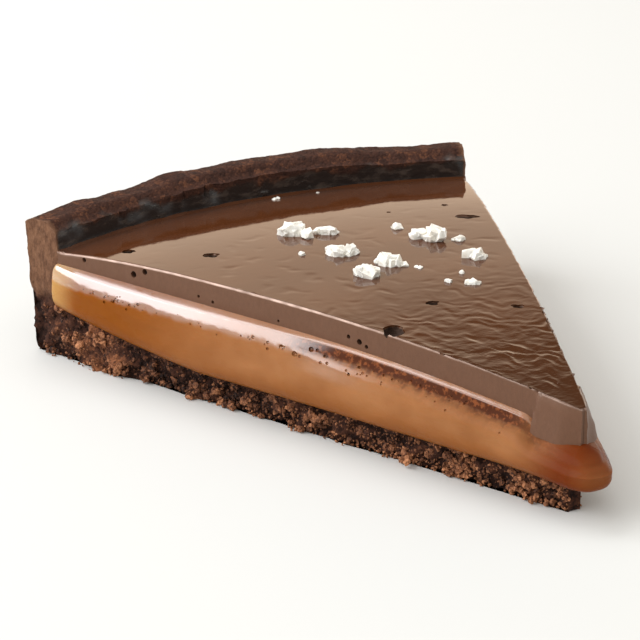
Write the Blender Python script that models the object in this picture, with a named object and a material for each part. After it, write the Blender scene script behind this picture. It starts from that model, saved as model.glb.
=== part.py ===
"""A slice of chocolate tart: a crumb crust with a raised rim, a caramel layer and a ganache top with salt.

The slice is modelled with its tip over the origin and its middle line along +Y. At the end an empty that
carries its three pieces moves the middle of its footprint onto the origin. It stands on Z = 0.
"""

import math
import random

import bmesh
import bpy
from mathutils import Matrix, Vector, noise

MM = 0.001

# The whole slice, an eighth of a round tart
SLICE_ANGLE = math.radians(45.0)
TIN_RADIUS = 115.0 * MM
RIM_HEIGHT = 24.6 * MM
WALL_THICKNESS = 6.3 * MM
GAP = 0.3 * MM

# Crust: a floor, a cove of crumb pressed into the corner, and a wall that leans outwards
CRUST_TIP = 3.0 * MM
FLOOR_THICKNESS = 5.2 * MM
COVE_HEIGHT = 9.5 * MM
COVE_REACH = 33.0 * MM
COVE_CURVE = 1.2
RIM_FLARE = 1.2 * MM
RIM_INNER_ROUND = 1.6 * MM
RIM_OUTER_ROUND = 0.8 * MM
FOOT_ROUND = 0.9 * MM
RIM_LUMP = 0.6 * MM
RIM_LUMPS_PER_TURN = 70
OUTSIDE_LUMP = 0.35 * MM
OUTSIDE_LUMP_LENGTH = 8.0 * MM
RIM_SWELL = 0.8 * MM
RIM_SWELL_START = math.radians(-6.0)
RIM_SWELL_END = math.radians(16.0)

# The crumbs of the cut: how far they stand out, how large they are, and where they spill at the foot
CRUMB_RELIEF = 0.75 * MM
CRUMB_SIZE = 2.1 * MM
FINE_CRUMBS = 2.3
FINE_SHARE = 0.6
CRUMB_RECESS = 0.7 * MM
SMEARED_RELIEF = 0.12 * MM
SMEAR_START = 8.5 * MM
SMEAR_END = 12.5 * MM
SPILL = 1.4 * MM
SPILL_PLACE = 98.0 * MM
SPILL_WIDTH = 7.0 * MM

# Caramel: a soft layer that bulges from the cuts and runs past the tip as a blunt nose
BULGE = 3.0 * MM
NOSE_BULGE = 4.1 * MM
NOSE_REACH = 5.1 * MM
NOSE_LENGTH = 20.0 * MM
NOSE_DROOP = 1.4 * MM
DROOP_LENGTH = 9.0 * MM
WALL_END_BULGE = 0.7 * MM
WALL_END_LENGTH = 14.0 * MM
SHOULDER_FULLNESS = 2.4
FOOT_FULLNESS = 3.4
WAVE = 0.25 * MM
WAVE_LENGTH = 56.0 * MM

# Ganache: a slab that is fullest halfway, sags at the tip and dips where it meets the wall
LAYER_TIP = 1.0 * MM
PEAK_HEIGHT = 21.7 * MM
PEAK_RADIUS = 60.0 * MM
TIP_SAG = 4.2 * MM
WALL_SAG = 2.3 * MM
SEAM_HEIGHT = 17.4 * MM
SEAM_SAG = 4.5 * MM
DRIP = 1.2 * MM
DRIP_FULL = 7.0 * MM
DRIP_END = 13.0 * MM
RIPPLE = 0.22 * MM
RIPPLE_LENGTH = 7.0 * MM
RIPPLE_WIDTH = 3.0 * MM
RIPPLE_FULL = 20.0 * MM
RIPPLE_END = 55.0 * MM

# Salt flakes: distance from the tip, degrees from the left cut, length, depth and height in
# millimetres, degrees turned from the X axis, and how many crystals make the flake
SALT_FLAKES = (
    (84, 19.5, 3.8, 2.6, 2.5, -25, 3),
    (81, 20.0, 1.8, 1.5, 2.1, 15, 1),
    (81, 23.0, 3.8, 2.4, 1.7, -40, 2),
    (74, 15.5, 1.7, 1.3, 1.5, -30, 1),
    (70, 20.5, 6.2, 3.0, 1.9, -27, 4),
    (59, 18.5, 4.3, 2.8, 2.2, -10, 3),
    (62, 24.0, 4.7, 3.0, 2.2, -45, 3),
    (78, 32.0, 1.7, 1.3, 1.5, -30, 1),
    (72, 33.0, 2.4, 2.0, 2.5, 0, 2),
    (70, 35.0, 3.2, 2.4, 2.9, -35, 2),
    (69, 38.0, 2.3, 1.6, 1.4, -30, 1),
    (60, 38.0, 4.9, 3.0, 2.0, -38, 2),
    (60, 26.0, 1.5, 1.2, 1.1, 0, 1),
    (58, 28.0, 1.6, 1.2, 0.9, -20, 1),
    (53, 34.0, 1.8, 1.3, 0.9, -30, 1),
    (50, 29.0, 1.9, 1.4, 1.1, 10, 1),
    (48, 33.5, 3.3, 1.9, 1.1, -35, 2),
)
SALT_SINK = 0.45 * MM
CRYSTAL_SHARE = 0.62
CRYSTAL_SHARE_LOSS = 0.05
CRYSTAL_ROUGHNESS = (0.85, 1.18)

# Burst bubbles in the top: distance from the tip, degrees from the left cut, length, depth across
# and reach down in millimetres. All are drawn out along the same line.
PITS = (
    (38, 3.5, 3.0, 3.6, 1.5),
    (43, 21.0, 2.1, 1.6, 0.8),
    (37, 39.0, 2.1, 1.6, 0.8),
    (84, 7.5, 2.7, 2.4, 0.5),
    (81, 42.0, 4.4, 2.6, 0.6),
    (96, 3.0, 2.2, 2.4, 0.8),
)
PIT_TURN = math.radians(-30.0)

HALF = SLICE_ANGLE / 2
NOSE_TURN = math.pi / 2 - HALF
INNER_RADIUS = TIN_RADIUS - WALL_THICKNESS
TOLERANCE = 1e-6


def clear_scene():
    for old in list(bpy.data.objects):
        bpy.data.objects.remove(old)


def blend(low, high, value):
    """0 up to low, 1 from high on, and a smooth rise between them."""
    share = min(1.0, max(0.0, (value - low) / (high - low)))
    return share * share * (3 - 2 * share)


def polar(point):
    """Distance from the tip's axis, and the angle from the middle line, minus to the left."""
    return math.hypot(point.x, point.y), math.atan2(point.x, point.y)


def place(radius, angle, height=0.0):
    return Vector((radius * math.sin(angle), radius * math.cos(angle), height))


def side_of(angle):
    """-1 on the left cut, 1 on the right cut and 0 between them."""
    if abs(abs(angle) - HALF) < TOLERANCE:
        return -1 if angle < 0 else 1
    return 0


def cut_outward(side):
    """The direction that a cut faces."""
    return Vector((side * math.cos(HALF), -math.sin(HALF), 0.0))


def points_in(geometry):
    return [item for item in geometry if isinstance(item, bmesh.types.BMVert)]


def level_edges(edges):
    return [edge for edge in edges if abs(edge.verts[0].co.z - edge.verts[1].co.z) < TOLERANCE]


def in_wall(edge):
    return min(polar(vert.co)[0] for vert in edge.verts) > INNER_RADIUS - TOLERANCE


def ganache_top(radius):
    if radius < PEAK_RADIUS:
        return PEAK_HEIGHT - TIP_SAG * (1 - radius / PEAK_RADIUS) ** 2
    return PEAK_HEIGHT - WALL_SAG * ((radius - PEAK_RADIUS) / (INNER_RADIUS - PEAK_RADIUS)) ** 3


def seam(radius):
    """The underside of the ganache, which hangs lower over the last of the tip."""
    sag = SEAM_SAG * (1 - min(radius, PEAK_RADIUS) / PEAK_RADIUS) ** 2
    drip = DRIP * (1 - blend(DRIP_FULL, DRIP_END, radius))
    return SEAM_HEIGHT - sag - drip


def floor_top(radius):
    """The top of the crust's floor, with the cove that rises to the wall."""
    share = max(0.0, (radius - (INNER_RADIUS - COVE_REACH)) / COVE_REACH)
    return FLOOR_THICKNESS + (COVE_HEIGHT - FLOOR_THICKNESS) * min(1.0, share) ** COVE_CURVE


def new_object(name, bm):
    bmesh.ops.recalc_face_normals(bm, faces=bm.faces)
    mesh = bpy.data.meshes.new(name)
    bm.to_mesh(mesh)
    bm.free()
    thing = bpy.data.objects.new(name, mesh)
    bpy.context.scene.collection.objects.link(thing)
    return thing


def smooth(thing, sharp_degrees):
    thing.data.shade_smooth()
    thing.data.set_sharp_from_angle(angle=math.radians(sharp_degrees))


def paint(thing, colour, roughness, coat):
    material = bpy.data.materials.new(thing.name)
    material.use_nodes = True
    shader = material.node_tree.nodes["Principled BSDF"]
    shader.inputs["Base Color"].default_value = (*colour, 1.0)
    shader.inputs["Roughness"].default_value = roughness
    shader.inputs["Metallic"].default_value = 0.0
    shader.inputs["Coat Weight"].default_value = coat
    thing.data.materials.clear()
    thing.data.materials.append(material)


def spin_slice(bm, steps):
    """Turns what bm holds about the tip, from the left cut to the right cut."""
    geometry = bm.verts[:] + bm.edges[:] + bm.faces[:]
    bmesh.ops.spin(
        bm, geom=geometry, cent=(0, 0, 0), axis=(0, 0, 1), angle=-SLICE_ANGLE, steps=steps, use_merge=False
    )


def line_of_points(bm, radii):
    """Joins points along the foot of the left cut and gives the edges between them."""
    line = [bm.verts.new(place(radius, -HALF)) for radius in radii]
    return [bm.edges.new(pair) for pair in zip(line, line[1:])]


def layer_sector(far_radius, coarse_step, spin_steps, levels):
    """A sector with rings of points at the given levels, which lie close together at the tip."""
    fine_step = 2.0 * MM
    fine_end = 21.0 * MM
    radii = [LAYER_TIP]
    while radii[-1] < fine_end:
        radii.append(radii[-1] + fine_step)
    start = radii[-1]
    bays = round((far_radius - start) / coarse_step)
    radii += [start + (far_radius - start) * (i + 1) / bays for i in range(bays)]
    bm = bmesh.new()
    line_of_points(bm, radii)
    spin_slice(bm, spin_steps)
    region = bm.verts[:] + bm.edges[:] + bm.faces[:]
    for low, high in zip(levels, levels[1:]):
        region = bmesh.ops.extrude_face_region(bm, geom=region)["geom"]
        bmesh.ops.translate(bm, verts=points_in(region), vec=(0, 0, high - low))
    return bm


def plain_crust_section():
    """The crust's cut face as plain rectangles: a row for the floor, and a block for the wall."""
    floor_bays = 9
    wall_columns = (0.0, 0.22, 0.6, 0.88, 1.0)
    wall_rows = 4
    bay = (INNER_RADIUS - CRUST_TIP) / floor_bays
    row = (RIM_HEIGHT - FLOOR_THICKNESS) / wall_rows
    radii = [CRUST_TIP + bay * i for i in range(floor_bays)]
    radii += [INNER_RADIUS + WALL_THICKNESS * share for share in wall_columns]
    bm = bmesh.new()
    rising = line_of_points(bm, radii)
    for i in range(1 + wall_rows):
        made = bmesh.ops.extrude_edge_only(bm, edges=rising)["geom"]
        bmesh.ops.translate(bm, verts=points_in(made), vec=(0, 0, row if i else FLOOR_THICKNESS))
        edges = [item for item in made if isinstance(item, bmesh.types.BMEdge)]
        rising = [edge for edge in level_edges(edges) if in_wall(edge)]
    return bm


def divide_cut_faces(bm):
    """Divides the two cut faces finely enough for crumbs, and leaves the rest of the crust coarse."""
    floor_cuts = 7
    wall_cuts = 1
    upright_cuts = 3

    def cut_edges():
        return [edge for edge in bm.edges if abs(sum(side_of(polar(v.co)[1]) for v in edge.verts)) == 2]

    floor = [edge for edge in level_edges(cut_edges()) if not in_wall(edge)]
    bmesh.ops.subdivide_edges(bm, edges=floor, cuts=floor_cuts)
    wall = [edge for edge in level_edges(cut_edges()) if in_wall(edge)]
    bmesh.ops.subdivide_edges(bm, edges=wall, cuts=wall_cuts)
    level = set(level_edges(cut_edges()))
    upright = [edge for edge in cut_edges() if edge not in level]
    bmesh.ops.subdivide_edges(bm, edges=upright, cuts=upright_cuts)


def cut_relief(radius, height, side):
    """How far a point of the crust's cut stands out: crumbly low down, and smeared smooth up the wall."""
    spot = Vector((radius, height, side * TIN_RADIUS)) / CRUMB_SIZE
    crumbs = noise.noise(spot) + FINE_SHARE * noise.noise(spot * FINE_CRUMBS)
    smeared = blend(SMEAR_START, SMEAR_END, height)
    spill = SPILL * math.exp(-(((radius - SPILL_PLACE) / SPILL_WIDTH) ** 2))
    crumbly = CRUMB_RELIEF * crumbs + spill - CRUMB_RECESS
    return crumbly * (1 - smeared) + SMEARED_RELIEF * crumbs * smeared


def rim_unevenness(angle, wall_share):
    """How far the top of the rim rises above or falls below its level height."""
    around = angle / math.tau * RIM_LUMPS_PER_TURN
    lumps = noise.noise(Vector((around, wall_share, 3.0)))
    lumps += 0.5 * noise.noise(Vector((around * 3, wall_share * 3, 8.0)))
    swell = blend(-HALF / 2, RIM_SWELL_START, angle) * (1 - blend(RIM_SWELL_END / 2, RIM_SWELL_END, angle))
    inner_fall = RIM_INNER_ROUND * (1 - blend(0.0, 0.3, wall_share))
    outer_fall = RIM_OUTER_ROUND * blend(0.8, 1.0, wall_share)
    return RIM_LUMP * lumps + RIM_SWELL * swell - inner_fall - outer_fall


def shape_crust(point):
    """Moves one point of the plain crust to its real place."""
    radius, angle = polar(point)
    wall_share = (radius - INNER_RADIUS) / WALL_THICKNESS
    cove = floor_top(radius)
    if point.z <= FLOOR_THICKNESS + TOLERANCE:
        height = point.z * cove / FLOOR_THICKNESS
    else:
        height = cove + (point.z - FLOOR_THICKNESS) * (RIM_HEIGHT - cove) / (RIM_HEIGHT - FLOOR_THICKNESS)
    if point.z > RIM_HEIGHT - TOLERANCE:
        height += rim_unevenness(angle, wall_share)
    if wall_share >= 0:
        free_wall = blend(ganache_top(INNER_RADIUS), RIM_HEIGHT, height)
        radius += RIM_FLARE * max(wall_share, free_wall / 2) * height / RIM_HEIGHT
    if wall_share > 1 - TOLERANCE:
        lump = Vector((angle * TIN_RADIUS, height, 0.0)) / OUTSIDE_LUMP_LENGTH
        radius += OUTSIDE_LUMP * noise.noise(lump)
        if point.z < TOLERANCE:
            radius -= FOOT_ROUND
    moved = place(radius, angle, height)
    side = side_of(angle)
    if side:
        moved += cut_outward(side) * cut_relief(radius, height, side)
    return moved


def make_crust():
    bm = plain_crust_section()
    spin_slice(bm, steps=22)
    divide_cut_faces(bm)
    for vert in bm.verts:
        vert.co = shape_crust(vert.co)
    return new_object("crust", bm)


def caramel_outward(radius, angle):
    """The direction in which an outline point of the caramel bulges, and None inside the outline."""
    if radius < LAYER_TIP + TOLERANCE:
        turn = angle / HALF * NOSE_TURN
        return Vector((math.sin(turn), -math.cos(turn), 0.0))
    side = side_of(angle)
    return cut_outward(side) if side else None


def caramel_bulge(radius, angle):
    """How far it bulges: round at its wall end, and squared off at its nose."""
    if radius < LAYER_TIP + TOLERANCE:
        turn = abs(angle) / HALF * NOSE_TURN
        return min(NOSE_BULGE / math.cos(NOSE_TURN - turn), NOSE_REACH / math.cos(turn))
    near_nose = 1 - blend(0.0, NOSE_LENGTH, radius)
    wave = WAVE * math.sin(math.tau * radius / WAVE_LENGTH + side_of(angle)) * (1 - near_nose)
    full = BULGE + (NOSE_BULGE - BULGE) * near_nose + wave
    near_wall = max(0.0, (radius - INNER_RADIUS) / WALL_END_LENGTH + 1)
    return WALL_END_BULGE + (full - WALL_END_BULGE) * math.sqrt(max(0.0, 1 - near_wall**2))


def shape_caramel(point):
    """Moves one point of a sector of height 1 to its place in the caramel."""
    radius, angle = polar(point)
    level = point.z
    low = floor_top(radius) + GAP
    high = seam(radius) - GAP
    moved = place(radius, angle, low + (high - low) * level)
    outward = caramel_outward(radius, angle)
    if outward is not None:
        fullness = SHOULDER_FULLNESS if level > 0.5 else FOOT_FULLNESS
        roundness = math.sqrt(max(0.0, 1 - abs(2 * level - 1) ** fullness))
        moved += outward * caramel_bulge(radius, angle) * roundness
        moved.z -= NOSE_DROOP * (1 - blend(0.0, DROOP_LENGTH, radius)) * (1 - level) * roundness
    return moved


def make_caramel():
    level_steps = 8
    levels = [(1 - math.cos(math.pi * i / level_steps)) / 2 for i in range(level_steps + 1)]
    bm = layer_sector(INNER_RADIUS - GAP, coarse_step=5.0 * MM, spin_steps=9, levels=levels)
    for vert in bm.verts:
        vert.co = shape_caramel(vert.co)
    caramel = new_object("caramel", bm)
    smooth(caramel, sharp_degrees=60)
    return caramel


def ripples(radius, angle):
    """Folds in the skin of the ganache, deepest near the tip."""
    spot = place(radius, angle)
    folds = noise.noise(Vector((spot.x / RIPPLE_LENGTH, spot.y / RIPPLE_WIDTH, 1.0)))
    fading = 1 - blend(RIPPLE_FULL, RIPPLE_END, radius)
    return RIPPLE * folds * fading * blend(LAYER_TIP, DRIP_FULL, radius)


def shape_ganache(point):
    """Moves one point of a sector of height 1 to its place in the ganache."""
    radius, angle = polar(point)
    if point.z > 0.5:
        return place(radius, angle, ganache_top(radius) + ripples(radius, angle))
    return place(radius, angle, seam(radius))


def surface_place(distance_mm, degrees_from_left):
    """A point on the ganache's top."""
    radius = distance_mm * MM
    return place(radius, math.radians(degrees_from_left) - HALF, ganache_top(radius))


def salt_crystals(index, flake):
    """The crystals of one flake, as bodies that overlap each other and sink into the ganache."""
    distance, degrees, length, depth, height, turn, count = flake
    draw = random.Random(index)
    stand = Matrix.Translation(surface_place(distance, degrees)) @ Matrix.Rotation(math.radians(turn), 4, "Z")
    share = 1.0 if count == 1 else CRYSTAL_SHARE - CRYSTAL_SHARE_LOSS * count
    bodies = []
    for i in range(count):
        along = (i / (count - 1) - 0.5) * (1 - share) * length if count > 1 else 0.0
        aside = draw.uniform(-0.5, 0.5) * (1 - share) * depth
        tallness = 1.0 if i == count // 2 else draw.uniform(0.6, 0.85)
        size = Vector((length * share, depth * draw.uniform(0.75, 1.0), height * tallness)) * MM / 2
        bm = bmesh.new()
        bmesh.ops.create_icosphere(bm, subdivisions=1, radius=1.0)
        bmesh.ops.rotate(bm, verts=bm.verts, matrix=Matrix.Rotation(draw.uniform(0, math.tau), 3, "Z"))
        for vert in bm.verts:
            vert.co *= draw.uniform(*CRYSTAL_ROUGHNESS)
        bmesh.ops.scale(bm, verts=bm.verts, vec=size)
        bmesh.ops.translate(bm, verts=bm.verts, vec=(along * MM, aside * MM, size.z - SALT_SINK))
        bmesh.ops.transform(bm, verts=bm.verts, matrix=stand)
        bodies.append(new_object(f"salt_{index}_{i}", bm))
    return bodies


def pit_cutters():
    """The burst bubbles, as flattened balls that reach into the ganache's top."""
    cutters = []
    for index, (distance, degrees, length, across, reach) in enumerate(PITS):
        bm = bmesh.new()
        bmesh.ops.create_icosphere(bm, subdivisions=2, radius=1.0)
        bmesh.ops.scale(bm, verts=bm.verts, vec=Vector((length / 2, across / 2, reach)) * MM)
        bmesh.ops.rotate(bm, verts=bm.verts, matrix=Matrix.Rotation(PIT_TURN, 3, "Z"))
        bmesh.ops.translate(bm, verts=bm.verts, vec=surface_place(distance, degrees))
        cutters.append(new_object(f"pit_{index}", bm))
    return cutters


def combine(body, others, operation):
    """Joins others to body, or cuts them out of it, in one step, and removes them."""
    group = bpy.data.collections.new(operation.lower())
    for other in others:
        group.objects.link(other)
    modifier = body.modifiers.new(operation.lower(), "BOOLEAN")
    modifier.operation = operation
    modifier.operand_type = "COLLECTION"
    modifier.collection = group
    modifier.solver = "EXACT"
    bpy.context.view_layer.update()
    evaluated = body.evaluated_get(bpy.context.evaluated_depsgraph_get())
    result = bpy.data.meshes.new_from_object(evaluated)
    body.modifiers.clear()
    body.data = result
    for other in others:
        bpy.data.objects.remove(other)
    bpy.data.collections.remove(group)


def make_ganache():
    bm = layer_sector(INNER_RADIUS - GAP, coarse_step=3.5 * MM, spin_steps=11, levels=(0.0, 1.0))
    for vert in bm.verts:
        vert.co = shape_ganache(vert.co)
    slab = new_object("ganache", bm)
    combine(slab, pit_cutters(), "DIFFERENCE")
    crystals = [body for index, flake in enumerate(SALT_FLAKES) for body in salt_crystals(index, flake)]
    combine(slab, crystals, "UNION")
    smooth(slab, sharp_degrees=35)
    return slab


def centre_footprint(pieces):
    """Hangs the pieces on an empty that puts the middle of their footprint on the origin."""
    corners = [vert.co for piece in pieces for vert in piece.data.vertices]
    low = [min(corner[axis] for corner in corners) for axis in range(2)]
    high = [max(corner[axis] for corner in corners) for axis in range(2)]
    carrier = bpy.data.objects.new("slice", None)
    carrier.location = (-(low[0] + high[0]) / 2, -(low[1] + high[1]) / 2, 0.0)
    bpy.context.scene.collection.objects.link(carrier)
    for piece in pieces:
        piece.parent = carrier


def main():
    clear_scene()
    crust = make_crust()
    paint(crust, colour=(0.060, 0.028, 0.020), roughness=0.75, coat=0.0)
    caramel = make_caramel()
    paint(caramel, colour=(0.36, 0.155, 0.045), roughness=0.35, coat=0.3)
    ganache = make_ganache()
    paint(ganache, colour=(0.075, 0.035, 0.022), roughness=0.18, coat=0.4)
    centre_footprint([crust, caramel, ganache])


main()
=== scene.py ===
# %% [markdown]
# # A slice of chocolate tart
#
# The slice has three layers: a dark crumb crust with a raised rim, soft caramel that bulges out of the
# cuts, and a glossy ganache with salt flakes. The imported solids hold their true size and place. Here each
# solid is stood in for by a finer piece of the same form, with its crumbs, bubbles, salt and colours. The
# noise module is given a seed, because its vector noise would else be another one in every run.

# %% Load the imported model
import math
import random

import bmesh
import bpy
from mathutils import Matrix, Vector, noise


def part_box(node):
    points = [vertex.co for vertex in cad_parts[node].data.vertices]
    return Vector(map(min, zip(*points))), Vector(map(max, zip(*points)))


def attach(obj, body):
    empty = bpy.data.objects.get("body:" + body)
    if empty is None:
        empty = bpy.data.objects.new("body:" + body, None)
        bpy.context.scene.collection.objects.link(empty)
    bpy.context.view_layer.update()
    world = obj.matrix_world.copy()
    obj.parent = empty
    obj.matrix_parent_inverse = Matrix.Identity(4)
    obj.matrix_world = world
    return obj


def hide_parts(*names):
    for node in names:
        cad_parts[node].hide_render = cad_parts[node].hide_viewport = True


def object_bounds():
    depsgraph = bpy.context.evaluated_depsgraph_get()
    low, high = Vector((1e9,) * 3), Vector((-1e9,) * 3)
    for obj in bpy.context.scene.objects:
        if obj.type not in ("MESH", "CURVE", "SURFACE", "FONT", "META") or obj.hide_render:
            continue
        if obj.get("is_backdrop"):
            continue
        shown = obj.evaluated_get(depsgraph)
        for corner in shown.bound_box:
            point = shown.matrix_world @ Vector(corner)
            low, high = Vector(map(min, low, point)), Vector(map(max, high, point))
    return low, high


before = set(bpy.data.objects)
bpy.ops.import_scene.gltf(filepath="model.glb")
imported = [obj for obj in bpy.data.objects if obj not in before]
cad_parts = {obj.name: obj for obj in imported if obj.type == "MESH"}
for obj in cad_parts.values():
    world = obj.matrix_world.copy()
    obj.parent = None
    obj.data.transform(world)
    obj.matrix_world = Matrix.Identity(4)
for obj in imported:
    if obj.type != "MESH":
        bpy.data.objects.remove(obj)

noise.seed_set(7)
cad_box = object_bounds()
print("solids:", sorted(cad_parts))

# %% [markdown]
# Every layer is a sector of a circle. So a point is easiest to describe by its distance from the tip and
# its angle from the middle line. The pieces are shaped with the tip over the origin and the middle line
# along +Y, and are moved to their real place as the last step. The main sizes are those of the solids.

# %% Sizes that the layers share
MM = 0.001
SLICE_ANGLE = math.radians(45.0)
HALF = SLICE_ANGLE / 2
TIN_RADIUS = 115.0 * MM
WALL_THICKNESS = 6.3 * MM
INNER_RADIUS = TIN_RADIUS - WALL_THICKNESS
RIM_HEIGHT = 24.6 * MM
FLOOR_THICKNESS = 5.2 * MM
LAYER_TIP = 1.0 * MM
NOSE_REACH = 5.1 * MM
TOLERANCE = 1e-6

tip_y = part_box("caramel")[0].y + NOSE_REACH - LAYER_TIP
to_place = Matrix.Translation((0.0, tip_y, 0.0))
print(f"tip at y = {tip_y / MM:.2f} mm")

# %% [markdown]
# The camera stands low and to the left of the tip, about half a metre away with a long lens, as food is
# often photographed. Its place was found from the slice's corners and edges in the picture.

# %% Camera
CAMERA_FROM_TIP = Vector((-234.65, -329.80, 186.40)) * MM
AIM_FROM_TIP = Vector((-12.67, 59.73, 15.00)) * MM
FOCAL_LENGTH_IN_PIXELS = 2882.9
IMAGE_PIXELS = 640
SENSOR_WIDTH_MM = 36.0

camera_data = bpy.data.cameras.new("camera")
camera_data.sensor_width = SENSOR_WIDTH_MM
camera_data.lens = FOCAL_LENGTH_IN_PIXELS / IMAGE_PIXELS * SENSOR_WIDTH_MM
camera = bpy.data.objects.new("camera", camera_data)
camera.location = to_place @ CAMERA_FROM_TIP
camera.rotation_euler = (AIM_FROM_TIP - CAMERA_FROM_TIP).to_track_quat("-Z", "Y").to_euler()
bpy.context.scene.collection.objects.link(camera)
bpy.context.scene.camera = camera
print(f"lens {camera_data.lens:.1f} mm, {(CAMERA_FROM_TIP - AIM_FROM_TIP).length / MM:.0f} mm away")


# %% Helpers for places and smooth changes
def blend(low, high, value):
    """0 up to low, 1 from high on, and a smooth rise between them."""
    share = min(1.0, max(0.0, (value - low) / (high - low)))
    return share * share * (3 - 2 * share)


def from_tip(point):
    """Distance from the tip's axis."""
    return math.hypot(point.x, point.y)


def polar(point):
    """Distance from the tip's axis, and the angle from the middle line, minus to the left."""
    return from_tip(point), math.atan2(point.x, point.y)


def place(radius, angle, height=0.0):
    return Vector((radius * math.sin(angle), radius * math.cos(angle), height))


def side_of(angle):
    """-1 on the left cut, 1 on the right cut and 0 between them."""
    if abs(abs(angle) - HALF) < TOLERANCE:
        return -1 if angle < 0 else 1
    return 0


def cut_outward(side):
    """The direction that a cut faces."""
    return Vector((side * math.cos(HALF), -math.sin(HALF), 0.0))


def rough(point, size, seed=0.0):
    """Smooth random values from about -1 to 1, whose bumps are of the given size."""
    return noise.noise(point / size + Vector((seed, 2 * seed, 3 * seed)))


def uneven(point, layers):
    """Adds up rough values. Each layer is a height and a bump size in millimetres, and a seed."""
    return MM * sum(height * rough(point, size * MM, seed) for height, size, seed in layers)


# %% [markdown]
# These three curves are the heights of the layers along the slice. The ganache is fullest halfway, sags
# at the tip and dips where it meets the wall. The seam under it hangs lower at the tip. The crust's floor
# rises in a cove where crumb was pressed into the corner of the tin.

# %% Heights of the layers
PEAK_HEIGHT = 21.7 * MM
PEAK_RADIUS = 60.0 * MM
TIP_SAG = 4.2 * MM
WALL_SAG = 2.3 * MM
SEAM_HEIGHT = 17.4 * MM
SEAM_SAG = 4.5 * MM
DRIP = 1.2 * MM
DRIP_FULL = 8.0 * MM
DRIP_END = 11.5 * MM
COVE_HEIGHT = 9.5 * MM
COVE_REACH = 33.0 * MM
COVE_CURVE = 1.2


def ganache_top(radius):
    if radius < PEAK_RADIUS:
        return PEAK_HEIGHT - TIP_SAG * (1 - radius / PEAK_RADIUS) ** 2
    return PEAK_HEIGHT - WALL_SAG * ((radius - PEAK_RADIUS) / (INNER_RADIUS - PEAK_RADIUS)) ** 3


def seam(radius):
    sag = SEAM_SAG * (1 - min(radius, PEAK_RADIUS) / PEAK_RADIUS) ** 2
    drip = DRIP * (1 - blend(DRIP_FULL, DRIP_END, radius))
    return SEAM_HEIGHT - sag - drip


def floor_top(radius):
    share = max(0.0, (radius - (INNER_RADIUS - COVE_REACH)) / COVE_REACH)
    return FLOOR_THICKNESS + (COVE_HEIGHT - FLOOR_THICKNESS) * min(1.0, share) ** COVE_CURVE


for distance in (0, 60, 108):
    at = distance * MM
    print(f"{distance} mm from the tip: floor {floor_top(at) / MM:.1f}, seam {seam(at) / MM:.1f}, "
          f"top {ganache_top(at) / MM:.1f} mm")


# %% [markdown]
# A layer starts as a line of points along the left cut. Spinning the line about the tip makes a flat
# sheet, and extruding the sheet one level at a time gives it sides with rows of points. Moving those
# points by a rule then gives the layer its real shape. Cosine-spaced levels put more rows at the top and
# bottom of the sides, where a soft layer turns fastest.

# %% Sheets, levels and finished pieces
def spin_slice(bm, steps):
    geometry = bm.verts[:] + bm.edges[:] + bm.faces[:]
    bmesh.ops.spin(
        bm, geom=geometry, cent=(0, 0, 0), axis=(0, 0, 1), angle=-SLICE_ANGLE, steps=steps, use_merge=False
    )


def line_of_points(bm, radii):
    line = [bm.verts.new(place(radius, -HALF)) for radius in radii]
    return [bm.edges.new(pair) for pair in zip(line, line[1:])]


def points_in(geometry):
    return [item for item in geometry if isinstance(item, bmesh.types.BMVert)]


def even_steps(low, high, size):
    count = max(1, round((high - low) / size))
    return [low + (high - low) * i / count for i in range(count + 1)]


def layer_sector(radii, spin_steps, levels):
    bm = bmesh.new()
    line_of_points(bm, radii)
    spin_slice(bm, spin_steps)
    region = bm.verts[:] + bm.edges[:] + bm.faces[:]
    for low, high in zip(levels, levels[1:]):
        region = bmesh.ops.extrude_face_region(bm, geom=region)["geom"]
        bmesh.ops.translate(bm, verts=points_in(region), vec=(0, 0, high - low))
    return bm


def finish_piece(name, bm, sharp_degrees=None):
    """Makes an object of bm, whose points are in their real place, inside the solids' box."""
    bmesh.ops.recalc_face_normals(bm, faces=bm.faces)
    bmesh.ops.transform(bm, verts=bm.verts, matrix=to_place)
    for vert in bm.verts:
        vert.co = [min(high, max(low, v)) for v, low, high in zip(vert.co, *cad_box)]
    mesh = bpy.data.meshes.new(name)
    bm.to_mesh(mesh)
    bm.free()
    if sharp_degrees is not None:
        mesh.shade_smooth()
        mesh.set_sharp_from_angle(angle=math.radians(sharp_degrees))
    piece = bpy.data.objects.new(name, mesh)
    bpy.context.scene.collection.objects.link(piece)
    print(f"{name}: {sum(len(face.vertices) - 2 for face in mesh.polygons)} triangles")
    return piece


def write_mask(piece, name, value_at):
    """Stores a value from 0 to 1 at each point, for a material to read. value_at gets tip-centred points."""
    back = to_place.inverted()
    layer = piece.data.attributes.new(name, "FLOAT", "POINT")
    values = [value_at(back @ vert.co) for vert in piece.data.vertices]
    layer.data.foreach_set("value", values)


# %% [markdown]
# Burst bubbles and pits are hollows with crisp edges, so they are cut out with small balls in one
# Boolean rather than pushed in point by point. Both solids are closed, so the fast Manifold solver fits.

# %% Cutting hollows
def ball(bm, centre, size, turn=0.0, subdivisions=2):
    """Adds a ball to bm, stretched to the half sizes in size and turned about the vertical."""
    made = bmesh.ops.create_icosphere(bm, subdivisions=subdivisions, radius=1.0)["verts"]
    bmesh.ops.scale(bm, verts=made, vec=size)
    bmesh.ops.rotate(bm, verts=made, matrix=Matrix.Rotation(turn, 3, "Z"))
    bmesh.ops.translate(bm, verts=made, vec=centre)
    return made


def pour(part, whole):
    """Adds a small bmesh to a large one. Shaping many small parts inside the large one would be slow."""
    mesh = bpy.data.meshes.new("part")
    part.to_mesh(mesh)
    part.free()
    whole.from_mesh(mesh)
    bpy.data.meshes.remove(mesh)


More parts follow.
